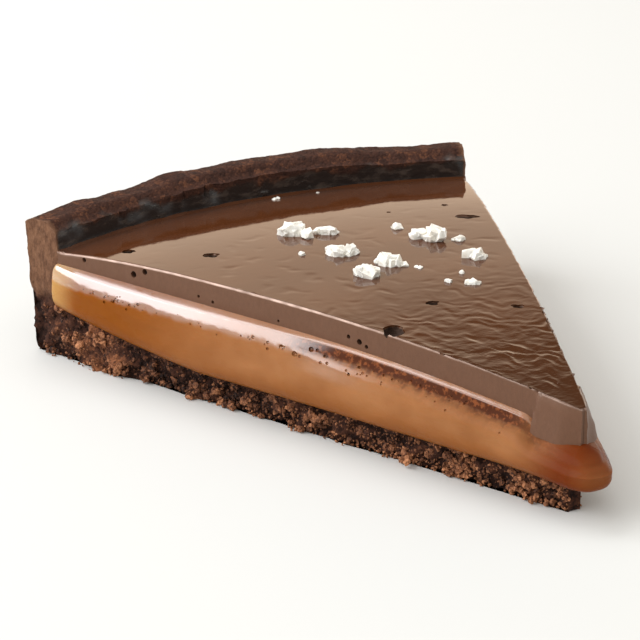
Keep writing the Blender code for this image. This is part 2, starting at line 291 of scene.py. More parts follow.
def cut_with(piece, cutters, sharp_degrees):
    group = bpy.data.collections.new("cutters")
    for cutter in cutters:
        group.objects.link(cutter)
    modifier = piece.modifiers.new("hollows", "BOOLEAN")
    modifier.operation = "DIFFERENCE"
    modifier.operand_type = "COLLECTION"
    modifier.collection = group
    modifier.solver = "MANIFOLD"
    bpy.context.view_layer.update()
    evaluated = piece.evaluated_get(bpy.context.evaluated_depsgraph_get())
    result = bpy.data.meshes.new_from_object(evaluated)
    before = len(piece.data.vertices)
    piece.modifiers.clear()
    piece.data = result
    result.name = piece.name
    result.shade_smooth()
    result.set_sharp_from_angle(angle=math.radians(sharp_degrees))
    for cutter in cutters:
        bpy.data.objects.remove(cutter)
    bpy.data.collections.remove(group)
    print(f"{piece.name}: {before} points before the hollows, {len(result.vertices)} after")


# %% [markdown]
# ## Caramel
#
# Set caramel is soft, so it bulges out of the cuts under the weight of the ganache and runs past the tip
# as a blunt nose. Near the wall its side is one smooth shoulder that slopes up to the ganache. Towards the
# tip the knife dragged chocolate over it, which left a narrow ledge under the ganache and a steep stained
# band below. Both profiles are curves of outward reach against depth below the seam, blended along the slice.

# %% Caramel sizes
BULGE = 3.0 * MM
NOSE_BULGE = 4.1 * MM
NOSE_LENGTH = 20.0 * MM
NOSE_DROOP = 0.6 * MM
DROOP_LENGTH = 9.0 * MM
NOSE_TURN = math.pi / 2 - HALF
NOSE_SQUARENESS = 6.0
WALL_END_BULGE = 0.9 * MM
WALL_END_LENGTH = 14.0 * MM
WALL_LAP = 0.9 * MM
WALL_LAP_LENGTH = 6.0 * MM
SHOULDER_FULLNESS = 2.4
NOSE_FULLNESS = 1.3
SHOULDER_SLOPE = 2.3
FOOT_FULLNESS = 3.4
WAVE = 0.25 * MM
WAVE_LENGTH = 56.0 * MM
LEDGE_REACH = 0.8 * MM
LEDGE_DROP = 0.42 * MM
STAIN_REACH = 1.5 * MM
STAIN_DEPTH = 2.3 * MM
SECOND_SHOULDER = 2.6 * MM
PAST_PATCH = 15.0 * MM
LEDGE_START = 46.0 * MM
LEDGE_FADE = 58.0 * MM
LEDGE_END = 10.0 * MM
LEDGE_GONE = 2.0 * MM
LEDGE_AT_NOSE = 0.35
CARAMEL_UNEVENNESS = ((0.16, 5.0, 0.0), (0.05, 1.6, 0.0), (0.018, 0.75, 0.0))


# %% Caramel side profile
def ledge_share(radius):
    """How much of the side has the ledge: none near the wall and less at the nose."""
    past_nose = blend(LEDGE_GONE, LEDGE_END, radius)
    return (1 - blend(LEDGE_START, LEDGE_FADE, radius)) * (LEDGE_AT_NOSE + (1 - LEDGE_AT_NOSE) * past_nose)


def quarter_round(share):
    share = min(1.0, max(0.0, share))
    return math.sqrt(1 - (1 - share) ** 2)


def ledge_reach(depth, bulge):
    """Out along the ledge, down the stained band, and out again round a second shoulder."""
    reach = LEDGE_REACH * min(1.0, depth / LEDGE_DROP)
    down_band = min(1.0, max(0.0, (depth - LEDGE_DROP) / (STAIN_DEPTH - LEDGE_DROP)))
    reach += (STAIN_REACH - LEDGE_REACH) * down_band
    return reach + (bulge - STAIN_REACH) * quarter_round((depth - STAIN_DEPTH) / SECOND_SHOULDER)


def caramel_outward(radius, angle):
    """The direction in which an outline point bulges, and None inside the outline."""
    if radius < LAYER_TIP + TOLERANCE:
        turn = angle / HALF * NOSE_TURN
        return Vector((math.sin(turn), -math.cos(turn), 0.0))
    side = side_of(angle)
    return cut_outward(side) if side else None


def caramel_bulge(radius, angle):
    """How far it bulges: round at its wall end, and squared off with soft corners at its nose."""
    if radius < LAYER_TIP + TOLERANCE:
        turn = abs(angle) / HALF * NOSE_TURN
        to_side = NOSE_BULGE / math.cos(NOSE_TURN - turn)
        to_front = NOSE_REACH / math.cos(turn)
        return (to_side ** -NOSE_SQUARENESS + to_front ** -NOSE_SQUARENESS) ** (-1 / NOSE_SQUARENESS)
    near_nose = 1 - blend(0.0, NOSE_LENGTH, radius)
    wave = WAVE * math.sin(math.tau * radius / WAVE_LENGTH + side_of(angle)) * (1 - near_nose)
    full = BULGE + (NOSE_BULGE - BULGE) * near_nose + wave
    near_wall = max(0.0, (radius - INNER_RADIUS) / WALL_END_LENGTH + 1)
    return WALL_END_BULGE + (full - WALL_END_BULGE) * math.sqrt(max(0.0, 1 - near_wall**2))


def caramel_point(radius, angle, level):
    """Where a point of the caramel lies, level 0 being its underside and level 1 the seam."""
    low = floor_top(radius)
    high = seam(radius)
    point = place(radius, angle, low + (high - low) * level)
    outward = caramel_outward(radius, angle)
    if outward is None:
        return point
    near_nose = 1 - blend(0.0, PAST_PATCH, radius)
    shoulder = SHOULDER_FULLNESS + (NOSE_FULLNESS - SHOULDER_FULLNESS) * near_nose
    fullness = shoulder if level > 0.5 else FOOT_FULLNESS
    roundness = math.sqrt(max(0.0, 1 - abs(2 * level - 1) ** fullness))
    bulge = caramel_bulge(radius, angle)
    reach = bulge * roundness
    if level > 0.5:
        reach = min(reach, SHOULDER_SLOPE * (high - point.z))
        share = ledge_share(radius)
        reach += (min(reach, ledge_reach(high - point.z, bulge)) - reach) * share
    spot = Vector((radius, point.z * 2, 9.0 * side_of(angle)))
    reach += uneven(spot, CARAMEL_UNEVENNESS) * roundness
    point += outward * reach
    point.z -= NOSE_DROOP * (1 - blend(0.0, DROOP_LENGTH, radius)) * (1 - level) * roundness
    over_wall = blend(INNER_RADIUS - WALL_LAP_LENGTH, INNER_RADIUS, radius)
    point += place(WALL_LAP, angle) * over_wall * roundness
    return point


# %% Caramel body
CARAMEL_STEP = 0.35 * MM
CARAMEL_SPIN = 30
CARAMEL_LEVELS = 44
caramel_levels = [(1 - math.cos(math.pi * i / CARAMEL_LEVELS)) / 2 for i in range(CARAMEL_LEVELS + 1)]
bm = layer_sector(even_steps(LAYER_TIP, INNER_RADIUS, CARAMEL_STEP), CARAMEL_SPIN, caramel_levels)
for vert in bm.verts:
    vert.co = caramel_point(*polar(vert.co), vert.co.z)
caramel = finish_piece("caramel_layer", bm, sharp_degrees=70)

# %% [markdown]
# Small bubbles rose to the caramel's shoulder and burst when it was cut. They are most crowded near the
# wall and halfway along, and leave a dotted line under the bright shoulder. Each crowd has a middle and a
# spread in millimetres from the tip, a size and a count.

# %% Bubbles in the caramel
BUBBLE_CROWDS = (
    (93.0, 4.0, 1.0, 16),
    (57.0, 3.0, 1.6, 8),
    (46.0, 8.0, 0.9, 20),
    (30.0, 8.0, 0.8, 12),
    (75.0, 12.0, 0.6, 16),
)
FIRST_BUBBLE = 14.0
LAST_BUBBLE = 104.0
BUBBLE_DEPTH = 2.5
DEPTH_SPREAD = 0.35
ROUND_STAIN = (-0.9, 1.1)
BUBBLE_SIZES = (0.14, 0.34)
BUBBLE_LENGTHS = (0.9, 1.5)


def caramel_bubbles(seed):
    """Balls along both shoulders."""
    draw = random.Random(seed)
    bm = bmesh.new()
    for side in (-1, 1):
        for middle, spread, size, count in BUBBLE_CROWDS:
            part = bmesh.new()
            for _ in range(count):
                radius = min(LAST_BUBBLE, max(FIRST_BUBBLE, draw.gauss(middle, spread))) * MM
                depth = (BUBBLE_DEPTH + draw.gauss(0.0, DEPTH_SPREAD)) * MM
                if ledge_share(radius) > 0.5:
                    depth = STAIN_DEPTH + draw.uniform(*ROUND_STAIN) * MM
                level = 1 - depth / (seam(radius) - floor_top(radius))
                width = draw.uniform(*BUBBLE_SIZES) * size * MM
                half_sizes = (width * draw.uniform(*BUBBLE_LENGTHS), width, width * 0.9)
                ball(part, caramel_point(radius, side * HALF, level), half_sizes, side * -NOSE_TURN)
            pour(part, bm)
    return bm


cutter = finish_piece("caramel_bubbles", caramel_bubbles(5))
cut_with(caramel, [cutter], sharp_degrees=50)

# %% [markdown]
# ## Ganache
#
# The ganache set as a glossy slab. Its skin is smooth near the wall, where it climbs the crust a little,
# and folds into ripples towards the tip, where it was dragged. A fold is noise that is stretched along one
# direction and swayed by slower noise. A fine sheet of points carries the folds, and a bevel rounds the edge
# where the knife went through, because that thin round edge is what catches the light.

# %% Ganache surface
MENISCUS_WIDTH = 1.4 * MM
MENISCUS_HEIGHT = 0.45 * MM
MENISCUS_LUMP = 6.0 * MM
FOLDS_FULL = 14.0 * MM
FOLDS_END = 66.0 * MM
DENTS_FULL = 70.0 * MM
DENTS_END = 100.0 * MM
CALM_TIP = 2.0 * MM
CALM_TIP_END = 16.0 * MM
FOLD_SWAY = ((2.4, 5.0, 3.0), (0.8, 1.8, 4.0))
BROAD_FOLD = (4.2, 2.0, 1.0)
BROAD_HEIGHT = 0.20
FINE_FOLD = (2.4, 1.05, 7.0)
FINE_HEIGHT = 0.11
DENT = (3.4, 2.0, 13.0)
DENT_HEIGHT = 0.09
DENT_SHARE = 0.22
PATCHY_LENGTH = 8.0 * MM
FOLD_TURN = math.radians(-30.0)
FOLD_ALONG = Vector((math.cos(FOLD_TURN), math.sin(FOLD_TURN), 0.0))
FOLD_ACROSS = Vector((-math.sin(FOLD_TURN), math.cos(FOLD_TURN), 0.0))


def drawn_out_noise(along, across, length, width, seed):
    """Noise whose bumps are longer than wide, with both sizes in millimetres."""
    return noise.noise(Vector((along / (length * MM), across / (width * MM), seed)))


def folds(spot):
    """Height of the skin's folds over its smooth shape."""
    radius = spot.length
    along = spot.dot(FOLD_ALONG)
    across = spot.dot(FOLD_ACROSS) + uneven(spot, FOLD_SWAY)
    ridge = (1 - abs(drawn_out_noise(along, across, *BROAD_FOLD))) ** 2 - 0.5
    fine = drawn_out_noise(along, across, *FINE_FOLD)
    dents = min(0.0, drawn_out_noise(along, across, *DENT) + DENT_SHARE)
    near_tip = 1 - blend(FOLDS_FULL, FOLDS_END, radius)
    patchy = 0.5 + 0.5 * blend(-0.3, 0.3, rough(spot, PATCHY_LENGTH, 21.0))
    wrinkles = (BROAD_HEIGHT * ridge + FINE_HEIGHT * fine) * MM * near_tip ** 1.4 * patchy
    dimples = DENT_HEIGHT * MM * dents * (1 - blend(DENTS_FULL, DENTS_END, radius))
    return (wrinkles + dimples) * blend(CALM_TIP, CALM_TIP_END, radius)


def ganache_skin(spot):
    radius = spot.length
    climb = max(0.0, (radius - INNER_RADIUS + MENISCUS_WIDTH) / MENISCUS_WIDTH)
    fullness = 1 + 0.4 * rough(spot, MENISCUS_LUMP, 9.0)
    return ganache_top(radius) + folds(spot) + MENISCUS_HEIGHT * fullness * min(1.0, climb) ** 2


# %% Ganache slab
GANACHE_STEP = 0.42 * MM
GANACHE_SPIN = 130
GANACHE_LEVELS = 10
WALL_CONTACT = 0.2 * MM
SEAM_LAP = 0.40 * MM
EDGE_ROUND = 0.38 * MM
PATCH_END = 11.5 * MM
PATCH_REACH = 1.5 * MM
PATCH_DROP = 0.7 * MM
PATCH_SLANT = 0.12
PATCH_EDGE_WIDTH = 0.3 * MM
TIP_LENGTH = 5.0 * MM
RIGHT_LEAN = 1.3 * MM
LEAN_END = 60.0 * MM
CUT_UNEVENNESS = ((0.05, 2.5, 0.0), (0.03, 0.8, 0.0))
PATCH_UNEVENNESS = ((0.5, 1.5, 2.0),)
RIGHT_UNEVENNESS = ((0.18, 1.5, 4.0),)
HEM_UNEVENNESS = ((0.25, 2.0, 6.0), (0.12, 0.7, 8.0))
HEM_LEVEL = 0.1


def ganache_point(radius, angle, level):
    """Where a point of the ganache lies, level 0 being its underside and level 1 its skin."""
    spot = place(radius, angle)
    low = seam(radius) - SEAM_LAP
    high = ganache_skin(spot)
    point = place(radius, angle, low + (high - low) * level)
    side = side_of(angle)
    if side:
        along = Vector((radius, point.z, 5.0 * side))
        reach = uneven(along, CUT_UNEVENNESS)
        patch_end = PATCH_END + uneven(along, PATCH_UNEVENNESS) - PATCH_SLANT * point.z
        patch = 1 - blend(patch_end - PATCH_EDGE_WIDTH, patch_end, radius)
        patch *= blend(0.0, TIP_LENGTH, radius)
        reach += PATCH_REACH * patch * (1 - 0.75 * level)
        point.z -= PATCH_DROP * patch * (1 - level)
        if side > 0:
            lean = RIGHT_LEAN * (1 - 0.75 * blend(0.0, LEAN_END, radius)) * blend(0.0, TIP_LENGTH, radius)
            reach += lean * max(0.0, 1 - level) ** 0.7 + uneven(along, RIGHT_UNEVENNESS)
        point += cut_outward(side) * reach
        if level < HEM_LEVEL:
            point.z += uneven(along, HEM_UNEVENNESS)
    return point


ganache_levels = even_steps(0.0, 1.0, 1.0 / GANACHE_LEVELS)
ganache_radii = even_steps(LAYER_TIP, INNER_RADIUS + WALL_CONTACT, GANACHE_STEP)
bm = layer_sector(ganache_radii, GANACHE_SPIN, ganache_levels)
edge_height = 1.0 - TOLERANCE
top_rim = [
    edge for edge in bm.edges
    if all(v.co.z > edge_height for v in edge.verts) and edge.calc_face_angle(0.0) > math.radians(60)
    and min(polar(v.co)[0] for v in edge.verts) < INNER_RADIUS - MM
]
for vert in bm.verts:
    vert.co = ganache_point(*polar(vert.co), vert.co.z)
bmesh.ops.bevel(
    bm, geom=top_rim, offset=EDGE_ROUND, offset_type="OFFSET", segments=3, profile=0.5,
    affect="EDGES", material=-1
)
ganache = finish_piece("ganache_layer", bm, sharp_degrees=55)

# %% [markdown]
# Pits in the skin are bubbles that burst while it set, all drawn out along the folds. The holes in the
# cut face are bubbles that the knife opened. One large bubble broke through the edge and left a notch.
# A pit has its distance from the tip, degrees from the left cut, length, width and reach down. A hole has
# its distance, height and half width. Both are in millimetres.

# %% Pits and holes in the ganache
PITS = (
    (38.2, 3.1, 3.7, 4.5, 1.0),
    (43, 21.0, 2.3, 1.8, 0.9),
    (37, 39.0, 2.1, 1.6, 0.8),
    (84, 7.5, 2.7, 2.4, 0.7),
    (81, 42.0, 4.4, 2.6, 0.8),
    (97.2, 3.2, 2.4, 2.6, 1.0),
    (88.9, 40.3, 1.3, 1.2, 0.4),
    (87.6, 33.3, 0.9, 0.9, 0.3),
)
FACE_HOLES = (
    (102.6, 19.4, 0.45),
    (91.3, 19.3, 0.62),
    (88.8, 20.3, 0.55),
    (45.6, 18.9, 0.38),
    (43.4, 18.5, 0.52),
    (42.0, 18.0, 0.36),
    (77.0, 18.6, 0.28),
    (73.9, 18.3, 0.30),
    (60.0, 18.2, 0.25),
)
HOLE_DEPTH = 2.5
PIT_SINK = 0.3
PIT_UNEVENNESS = 0.38
PIT_LUMP = 0.32
RIGHT_HOLE_SHIFT = 7.0


def ganache_cutters():
    bm = bmesh.new()
    for distance, degrees, length, across, reach in PITS:
        spot = place(distance * MM, math.radians(degrees) - HALF)
        centre = Vector((spot.x, spot.y, ganache_skin(spot) - PIT_SINK * reach * MM))
        made = ball(bm, centre, Vector((length / 2, across / 2, reach)) * MM, FOLD_TURN, subdivisions=4)
        for vert in made:
            outward = vert.co - centre
            vert.co = centre + outward * (1 + PIT_UNEVENNESS * rough(vert.co, PIT_LUMP * length * MM, 5.0))
    for side in (-1, 1):
        for distance, height, width in FACE_HOLES:
            shift = 0.0 if side < 0 else RIGHT_HOLE_SHIFT
            centre = place((distance - shift) * MM, side * HALF, height * MM)
            ball(bm, centre, Vector((HOLE_DEPTH * width, width, width)) * MM, side * -HALF)
    return bm


cutter = finish_piece("ganache_hollows", ganache_cutters())
cut_with(ganache, [cutter], sharp_degrees=40)

# %% [markdown]
# ## Salt
#
# Sea salt flakes are clusters of flat-sided crystals. Each crystal is a small block with its corners
# sliced off by random planes, which gives true flat facets, and a flake is a handful of them pushed
# together in the flake's outline. The flakes stand where the solids' flakes stand, and the last two rows
# are specks near the wall. A row has the distance from the tip, degrees from the left cut, length, depth
# and height in millimetres, degrees turned, and how many lumps make the flake.

# %% Salt sizes and places
SALT_FLAKES = (
    (84, 19.5, 3.8, 2.6, 2.5, -25, 3),
    (81, 20.0, 1.8, 1.5, 2.1, 15, 1),
    (81, 23.0, 3.8, 2.4, 1.7, -40, 2),
    (74, 15.5, 1.7, 1.3, 1.5, -30, 1),
    (70, 20.5, 6.2, 3.0, 1.9, -27, 4),
    (59, 18.5, 4.3, 2.8, 2.2, -10, 3),
    (62, 24.0, 4.7, 3.0, 2.2, -45, 3),
    (78, 32.0, 1.7, 1.3, 1.5, -30, 1),
    (72, 33.0, 2.4, 2.0, 2.5, 0, 2),
    (70, 35.0, 3.2, 2.4, 2.9, -35, 2),
    (69, 38.0, 2.3, 1.6, 1.4, -30, 1),
    (60, 38.0, 4.9, 3.0, 2.0, -38, 2),
    (60, 26.0, 1.5, 1.2, 1.1, 0, 1),
    (58, 28.0, 1.6, 1.2, 0.9, -20, 1),
    (53, 34.0, 1.8, 1.3, 0.9, -30, 1),
    (50, 29.0, 1.9, 1.4, 1.1, 10, 1),
    (48, 33.5, 3.3, 1.9, 1.1, -35, 2),
    (106.6, 25.0, 1.4, 1.1, 1.0, 0, 1),
    (106.8, 29.5, 0.8, 0.7, 0.6, 0, 1),
)
CRYSTAL_CUTS = 7
CUT_DISTANCES = (0.85, 1.15)
CRYSTAL_TILT = 0.5
CRYSTAL_SIZES = (0.55, 0.85)
CRYSTAL_SHAPES = ((0.8, 1.3), (0.7, 1.1), (0.6, 1.0))
CRYSTAL_SINK = 0.2 * MM
SPECK_LENGTH = 2.2


# %% Salt crystals
def add_crystal(bm, draw, centre, half_sizes, turn):
    """A block with its corners sliced off, turned a little every way."""
    part = bmesh.new()
    bmesh.ops.create_cube(part, size=2.0)
    for _ in range(CRYSTAL_CUTS):
        facing = Vector((draw.gauss(0, 1), draw.gauss(0, 1), draw.gauss(0, 1))).normalized()
        whole = part.verts[:] + part.edges[:] + part.faces[:]
        cut = bmesh.ops.bisect_plane(
            part, geom=whole, plane_co=facing * draw.uniform(*CUT_DISTANCES), plane_no=facing, clear_outer=True
        )
        rim = [item for item in cut["geom_cut"] if isinstance(item, bmesh.types.BMEdge)]
        if rim:
            bmesh.ops.holes_fill(part, edges=rim, sides=0)
    bmesh.ops.scale(part, verts=part.verts, vec=half_sizes)
    tilt = Matrix.Rotation(draw.uniform(-CRYSTAL_TILT, CRYSTAL_TILT), 3, "X")
    tilt = tilt @ Matrix.Rotation(draw.uniform(-CRYSTAL_TILT, CRYSTAL_TILT), 3, "Y")
    bmesh.ops.rotate(part, verts=part.verts, matrix=Matrix.Rotation(turn, 3, "Z") @ tilt)
    bmesh.ops.translate(part, verts=part.verts, vec=centre)
    bmesh.ops.recalc_face_normals(part, faces=part.faces)
    pour(part, bm)


def salt_flakes():
    bm = bmesh.new()
    for index, (distance, degrees, length, depth, height, turn, count) in enumerate(SALT_FLAKES):
        draw = random.Random(100 + index)
        spot = place(distance * MM, math.radians(degrees) - HALF)
        ground = ganache_skin(spot)
        lengthwise = Vector((math.cos(math.radians(turn)), math.sin(math.radians(turn)), 0.0))
        sideways = Vector((-lengthwise.y, lengthwise.x, 0.0))
        crystals = 2 + 3 * count if length > SPECK_LENGTH else 2
        for _ in range(crystals):
            along = draw.uniform(-0.5, 0.5)
            aside = draw.uniform(-0.5, 0.5) * math.sqrt(1 - (2 * along) ** 2)
            size = draw.uniform(*CRYSTAL_SIZES) * min(depth, height) * (1.2 - abs(along))
            room = height * (1 - 1.6 * (along * along + aside * aside))
            rise = max(0.3 * size, draw.uniform(0.25, 0.95) * room - 0.5 * size)
            centre = spot + lengthwise * along * 0.7 * length * MM + sideways * aside * 0.6 * depth * MM
            centre.z = ground + rise * MM - CRYSTAL_SINK
            half_sizes = Vector([draw.uniform(*limits) for limits in CRYSTAL_SHAPES])
            half_sizes *= size * 0.7 * MM
            add_crystal(bm, draw, centre, half_sizes, draw.uniform(0, math.tau))
    return bm


salt = finish_piece("salt_flakes", salt_flakes())

# %% [markdown]
# ## Crust
#
# The crust is crushed dark biscuit pressed into the tin. It is one body: a floor, a cove and a wall with a
# lumpy rim. The section is drawn as a grid of rectangles, spun, and then every point is moved by a rule.
# Only the two cut faces get a fine grid, because only they show crumbs. Noise gives the small bumps, and
# rounded Voronoi cells, each highest in its middle, give the larger crags of pressed crumb.

# %% Crust sizes
CRUST_TIP = 3.0 * MM
RIM_FLARE = 1.2 * MM
RIM_INNER_ROUND = 1.6 * MM
RIM_OUTER_ROUND = 0.8 * MM
FOOT_ROUND = 0.9 * MM
RIM_LUMP = 0.45 * MM
RIM_LUMPS_PER_TURN = 70
OUTSIDE_LUMP = 0.35 * MM
OUTSIDE_LUMP_LENGTH = 8.0 * MM
RIM_SWELL = 0.8 * MM
RIM_SWELL_START = math.radians(-6.0)
RIM_SWELL_END = math.radians(16.0)
CRUMB_RELIEF = 0.6 * MM
CRUMB_SIZE = 2.1 * MM
CRAG_RELIEF = 2.3 * MM
CRAGS_PER_CRUMB = 0.62
FINE_CRUMBS = 2.3
FINE_SHARE = 0.6
CRUMB_RECESS = 0.7 * MM
SMEARED_RELIEF = 0.17 * MM
SMEAR_START = 8.5 * MM
SMEAR_END = 12.5 * MM
SPILL = 1.4 * MM
SPILL_PLACE = 98.0 * MM
SPILL_WIDTH = 7.0 * MM
OUTER_PITTING = ((0.10, 1.3, 0.0),)
INNER_PITTING = ((0.28, 4.0, 2.0), (0.10, 1.5, 3.0))
RIM_PITTING = ((0.14, 1.1, 5.0), (0.10, 0.6, 6.0))
FOOT_HEIGHT = 1.6 * MM
RIM_DEPTH = 2.5 * MM


# %% Crust shape
def cut_relief(radius, height, side):
    """How far a point of the crust's cut stands out: crumbly low down, and smeared smooth up the wall."""
    spot = Vector((radius, height, side * TIN_RADIUS)) / CRUMB_SIZE
    crumbs = noise.noise(spot) + FINE_SHARE * noise.noise(spot * FINE_CRUMBS) + 0.5 * noise.noise(spot * 5.5)
    wobble = 0.35 * noise.noise_vector(spot * 1.3)
    crag = 0.5 - noise.voronoi(spot * CRAGS_PER_CRUMB + wobble)[0][0]
    smeared = blend(SMEAR_START, SMEAR_END, height)
    spill = SPILL * math.exp(-(((radius - SPILL_PLACE) / SPILL_WIDTH) ** 2))
    crumbly = CRUMB_RELIEF * crumbs + CRAG_RELIEF * crag + spill - CRUMB_RECESS
    return crumbly * (1 - smeared) + SMEARED_RELIEF * crumbs * smeared


def rim_unevenness(angle, wall_share):
    around = angle / math.tau * RIM_LUMPS_PER_TURN
    lumps = noise.noise(Vector((around, wall_share, 3.0)))
    lumps += 0.5 * noise.noise(Vector((around * 3, wall_share * 3, 8.0)))
    swell = blend(-HALF / 2, RIM_SWELL_START, angle) * (1 - blend(RIM_SWELL_END / 2, RIM_SWELL_END, angle))
    inner_fall = RIM_INNER_ROUND * (1 - blend(0.0, 0.3, wall_share))
    outer_fall = RIM_OUTER_ROUND * blend(0.8, 1.0, wall_share)
    return RIM_LUMP * lumps + RIM_SWELL * swell - inner_fall - outer_fall


def crust_point(point):
    """Moves one point of the plain crust to its real place."""
    radius, angle = polar(point)
    wall_share = (radius - INNER_RADIUS) / WALL_THICKNESS
    cove = floor_top(radius)
    if point.z <= FLOOR_THICKNESS + TOLERANCE:
        height = point.z * cove / FLOOR_THICKNESS
    else:
        height = cove + (point.z - FLOOR_THICKNESS) * (RIM_HEIGHT - cove) / (RIM_HEIGHT - FLOOR_THICKNESS)
    near_top = blend(RIM_HEIGHT - RIM_DEPTH, RIM_HEIGHT, height)
    height += rim_unevenness(angle, wall_share) * near_top
    pitting = Vector((angle * TIN_RADIUS, height, wall_share * WALL_THICKNESS))
    outer_face = wall_share > 1 - TOLERANCE
    inner_face = abs(wall_share) < TOLERANCE and height > ganache_top(INNER_RADIUS) - MM
    at_top = point.z > RIM_HEIGHT - TOLERANCE
    if wall_share >= -TOLERANCE:
        free_wall = blend(ganache_top(INNER_RADIUS), RIM_HEIGHT, height)
        radius += RIM_FLARE * max(wall_share, free_wall / 2) * height / RIM_HEIGHT
    if outer_face:
        radius += OUTSIDE_LUMP * noise.noise(Vector((angle * TIN_RADIUS, height, 0.0)) / OUTSIDE_LUMP_LENGTH)
        radius += uneven(pitting, OUTER_PITTING) * blend(0.0, MM, height)
        radius -= FOOT_ROUND * (1 - quarter_round(height / FOOT_HEIGHT))
    if inner_face:
        radius += uneven(pitting, INNER_PITTING)
    if at_top:
        height += uneven(pitting, RIM_PITTING)
    moved = place(radius, angle, height)
    side = side_of(angle)
    if side:
        moved += cut_outward(side) * cut_relief(radius, height, side)
    return moved


# %% Crust section and body
FLOOR_BAYS = 9
FLOOR_ROWS = 20
WALL_COLUMNS = (0.0, 0.07, 0.15, 0.24, 0.34, 0.45, 0.56, 0.67, 0.78, 0.87, 0.94, 1.0)
WALL_ROWS = 36
CRUST_SPIN = 150
FLOOR_CUTS = 31


def level_edges(edges):
    return [edge for edge in edges if abs(edge.verts[0].co.z - edge.verts[1].co.z) < TOLERANCE]


def in_wall(edge):
    return min(polar(vert.co)[0] for vert in edge.verts) > INNER_RADIUS - TOLERANCE


def plain_crust_section():
    bay = (INNER_RADIUS - CRUST_TIP) / FLOOR_BAYS
    radii = [CRUST_TIP + bay * i for i in range(FLOOR_BAYS)]
    radii += [INNER_RADIUS + WALL_THICKNESS * share for share in WALL_COLUMNS]
    bm = bmesh.new()
    rising = line_of_points(bm, radii)
    for i in range(FLOOR_ROWS + WALL_ROWS):
        in_floor = i < FLOOR_ROWS
        rise = FLOOR_THICKNESS / FLOOR_ROWS if in_floor else (RIM_HEIGHT - FLOOR_THICKNESS) / WALL_ROWS
        made = bmesh.ops.extrude_edge_only(bm, edges=rising)["geom"]
        bmesh.ops.translate(bm, verts=points_in(made), vec=(0, 0, rise))
        rising = level_edges([item for item in made if isinstance(item, bmesh.types.BMEdge)])
        if i >= FLOOR_ROWS - 1:
            rising = [edge for edge in rising if in_wall(edge)]
    return bm


bm = plain_crust_section()
spin_slice(bm, CRUST_SPIN)
cut_edges = [edge for edge in bm.edges if abs(sum(side_of(polar(v.co)[1]) for v in edge.verts)) == 2]
floor_edges = [edge for edge in level_edges(cut_edges) if not in_wall(edge)]
bmesh.ops.subdivide_edges(bm, edges=floor_edges, cuts=FLOOR_CUTS)
for vert in bm.verts:
    vert.co = crust_point(vert.co)
crust = finish_piece("crust_body", bm, sharp_degrees=60)

# %% [markdown]
# Loose crumbs cling to the torn faces. Each is a small lumpy ball with only a few faces, since there are
# thousands, and each carries a shade from nearly black to red brown: partly a random tone, lighter towards the
# tip, and partly painted light on crumbs that stand out and painted shade on sunken ones. Most of the larger
# clumps gather on a few dozen crags, as in a real cut, and the fine grains are spread all over.

# %% Crumbs on the cuts
CRAGS_PER_CUT = 48
CRAG_SPREAD = 0.75 * MM
CRAG_REACH = 1.5 * MM
LOWEST_RELIEF = -1.4 * MM
HIGHEST_RELIEF = 1.6 * MM
CLUMPS_PER_CUT = 480
CLUMP_SIZES = (0.28, 0.72)
GRAINS_PER_CUT = 2220
GRAIN_SIZES = (0.13, 0.32)
CRUMB_SHAPES = ((0.7, 1.25), (0.7, 1.25), (0.7, 1.1))
CRUMB_LUMPS = (0.55, 1.3)
SHADE_SPREAD = 0.16
FOOT_SPILL = 1.1 * MM
LIT_TIP = 30 * MM
LIT_TIP_END = 85 * MM
CRUMBS_PER_PART = 30
WIDEST = 0.5 * (cad_box[1].x - cad_box[0].x) - 0.1 * MM


def add_crumb(bm, shade_layer, shade, draw, centre, radius, subdivisions):
    made = bmesh.ops.create_icosphere(bm, subdivisions=subdivisions, radius=radius)["verts"]
    angle = draw.uniform(0, math.tau)
    turn = Matrix.Rotation(angle, 3, Vector([draw.gauss(0, 1) for _ in range(3)]))
    bmesh.ops.scale(bm, verts=made, vec=[draw.uniform(*limits) for limits in CRUMB_SHAPES])
    bmesh.ops.rotate(bm, verts=made, matrix=turn)
    for vert in made:
        vert.co *= draw.uniform(*CRUMB_LUMPS)
        vert[shade_layer] = shade + draw.gauss(0.0, SHADE_SPREAD)
    low = min(vert.co.z for vert in made)
    centre.z = max(centre.z, -low)
    bmesh.ops.translate(bm, verts=made, vec=centre)


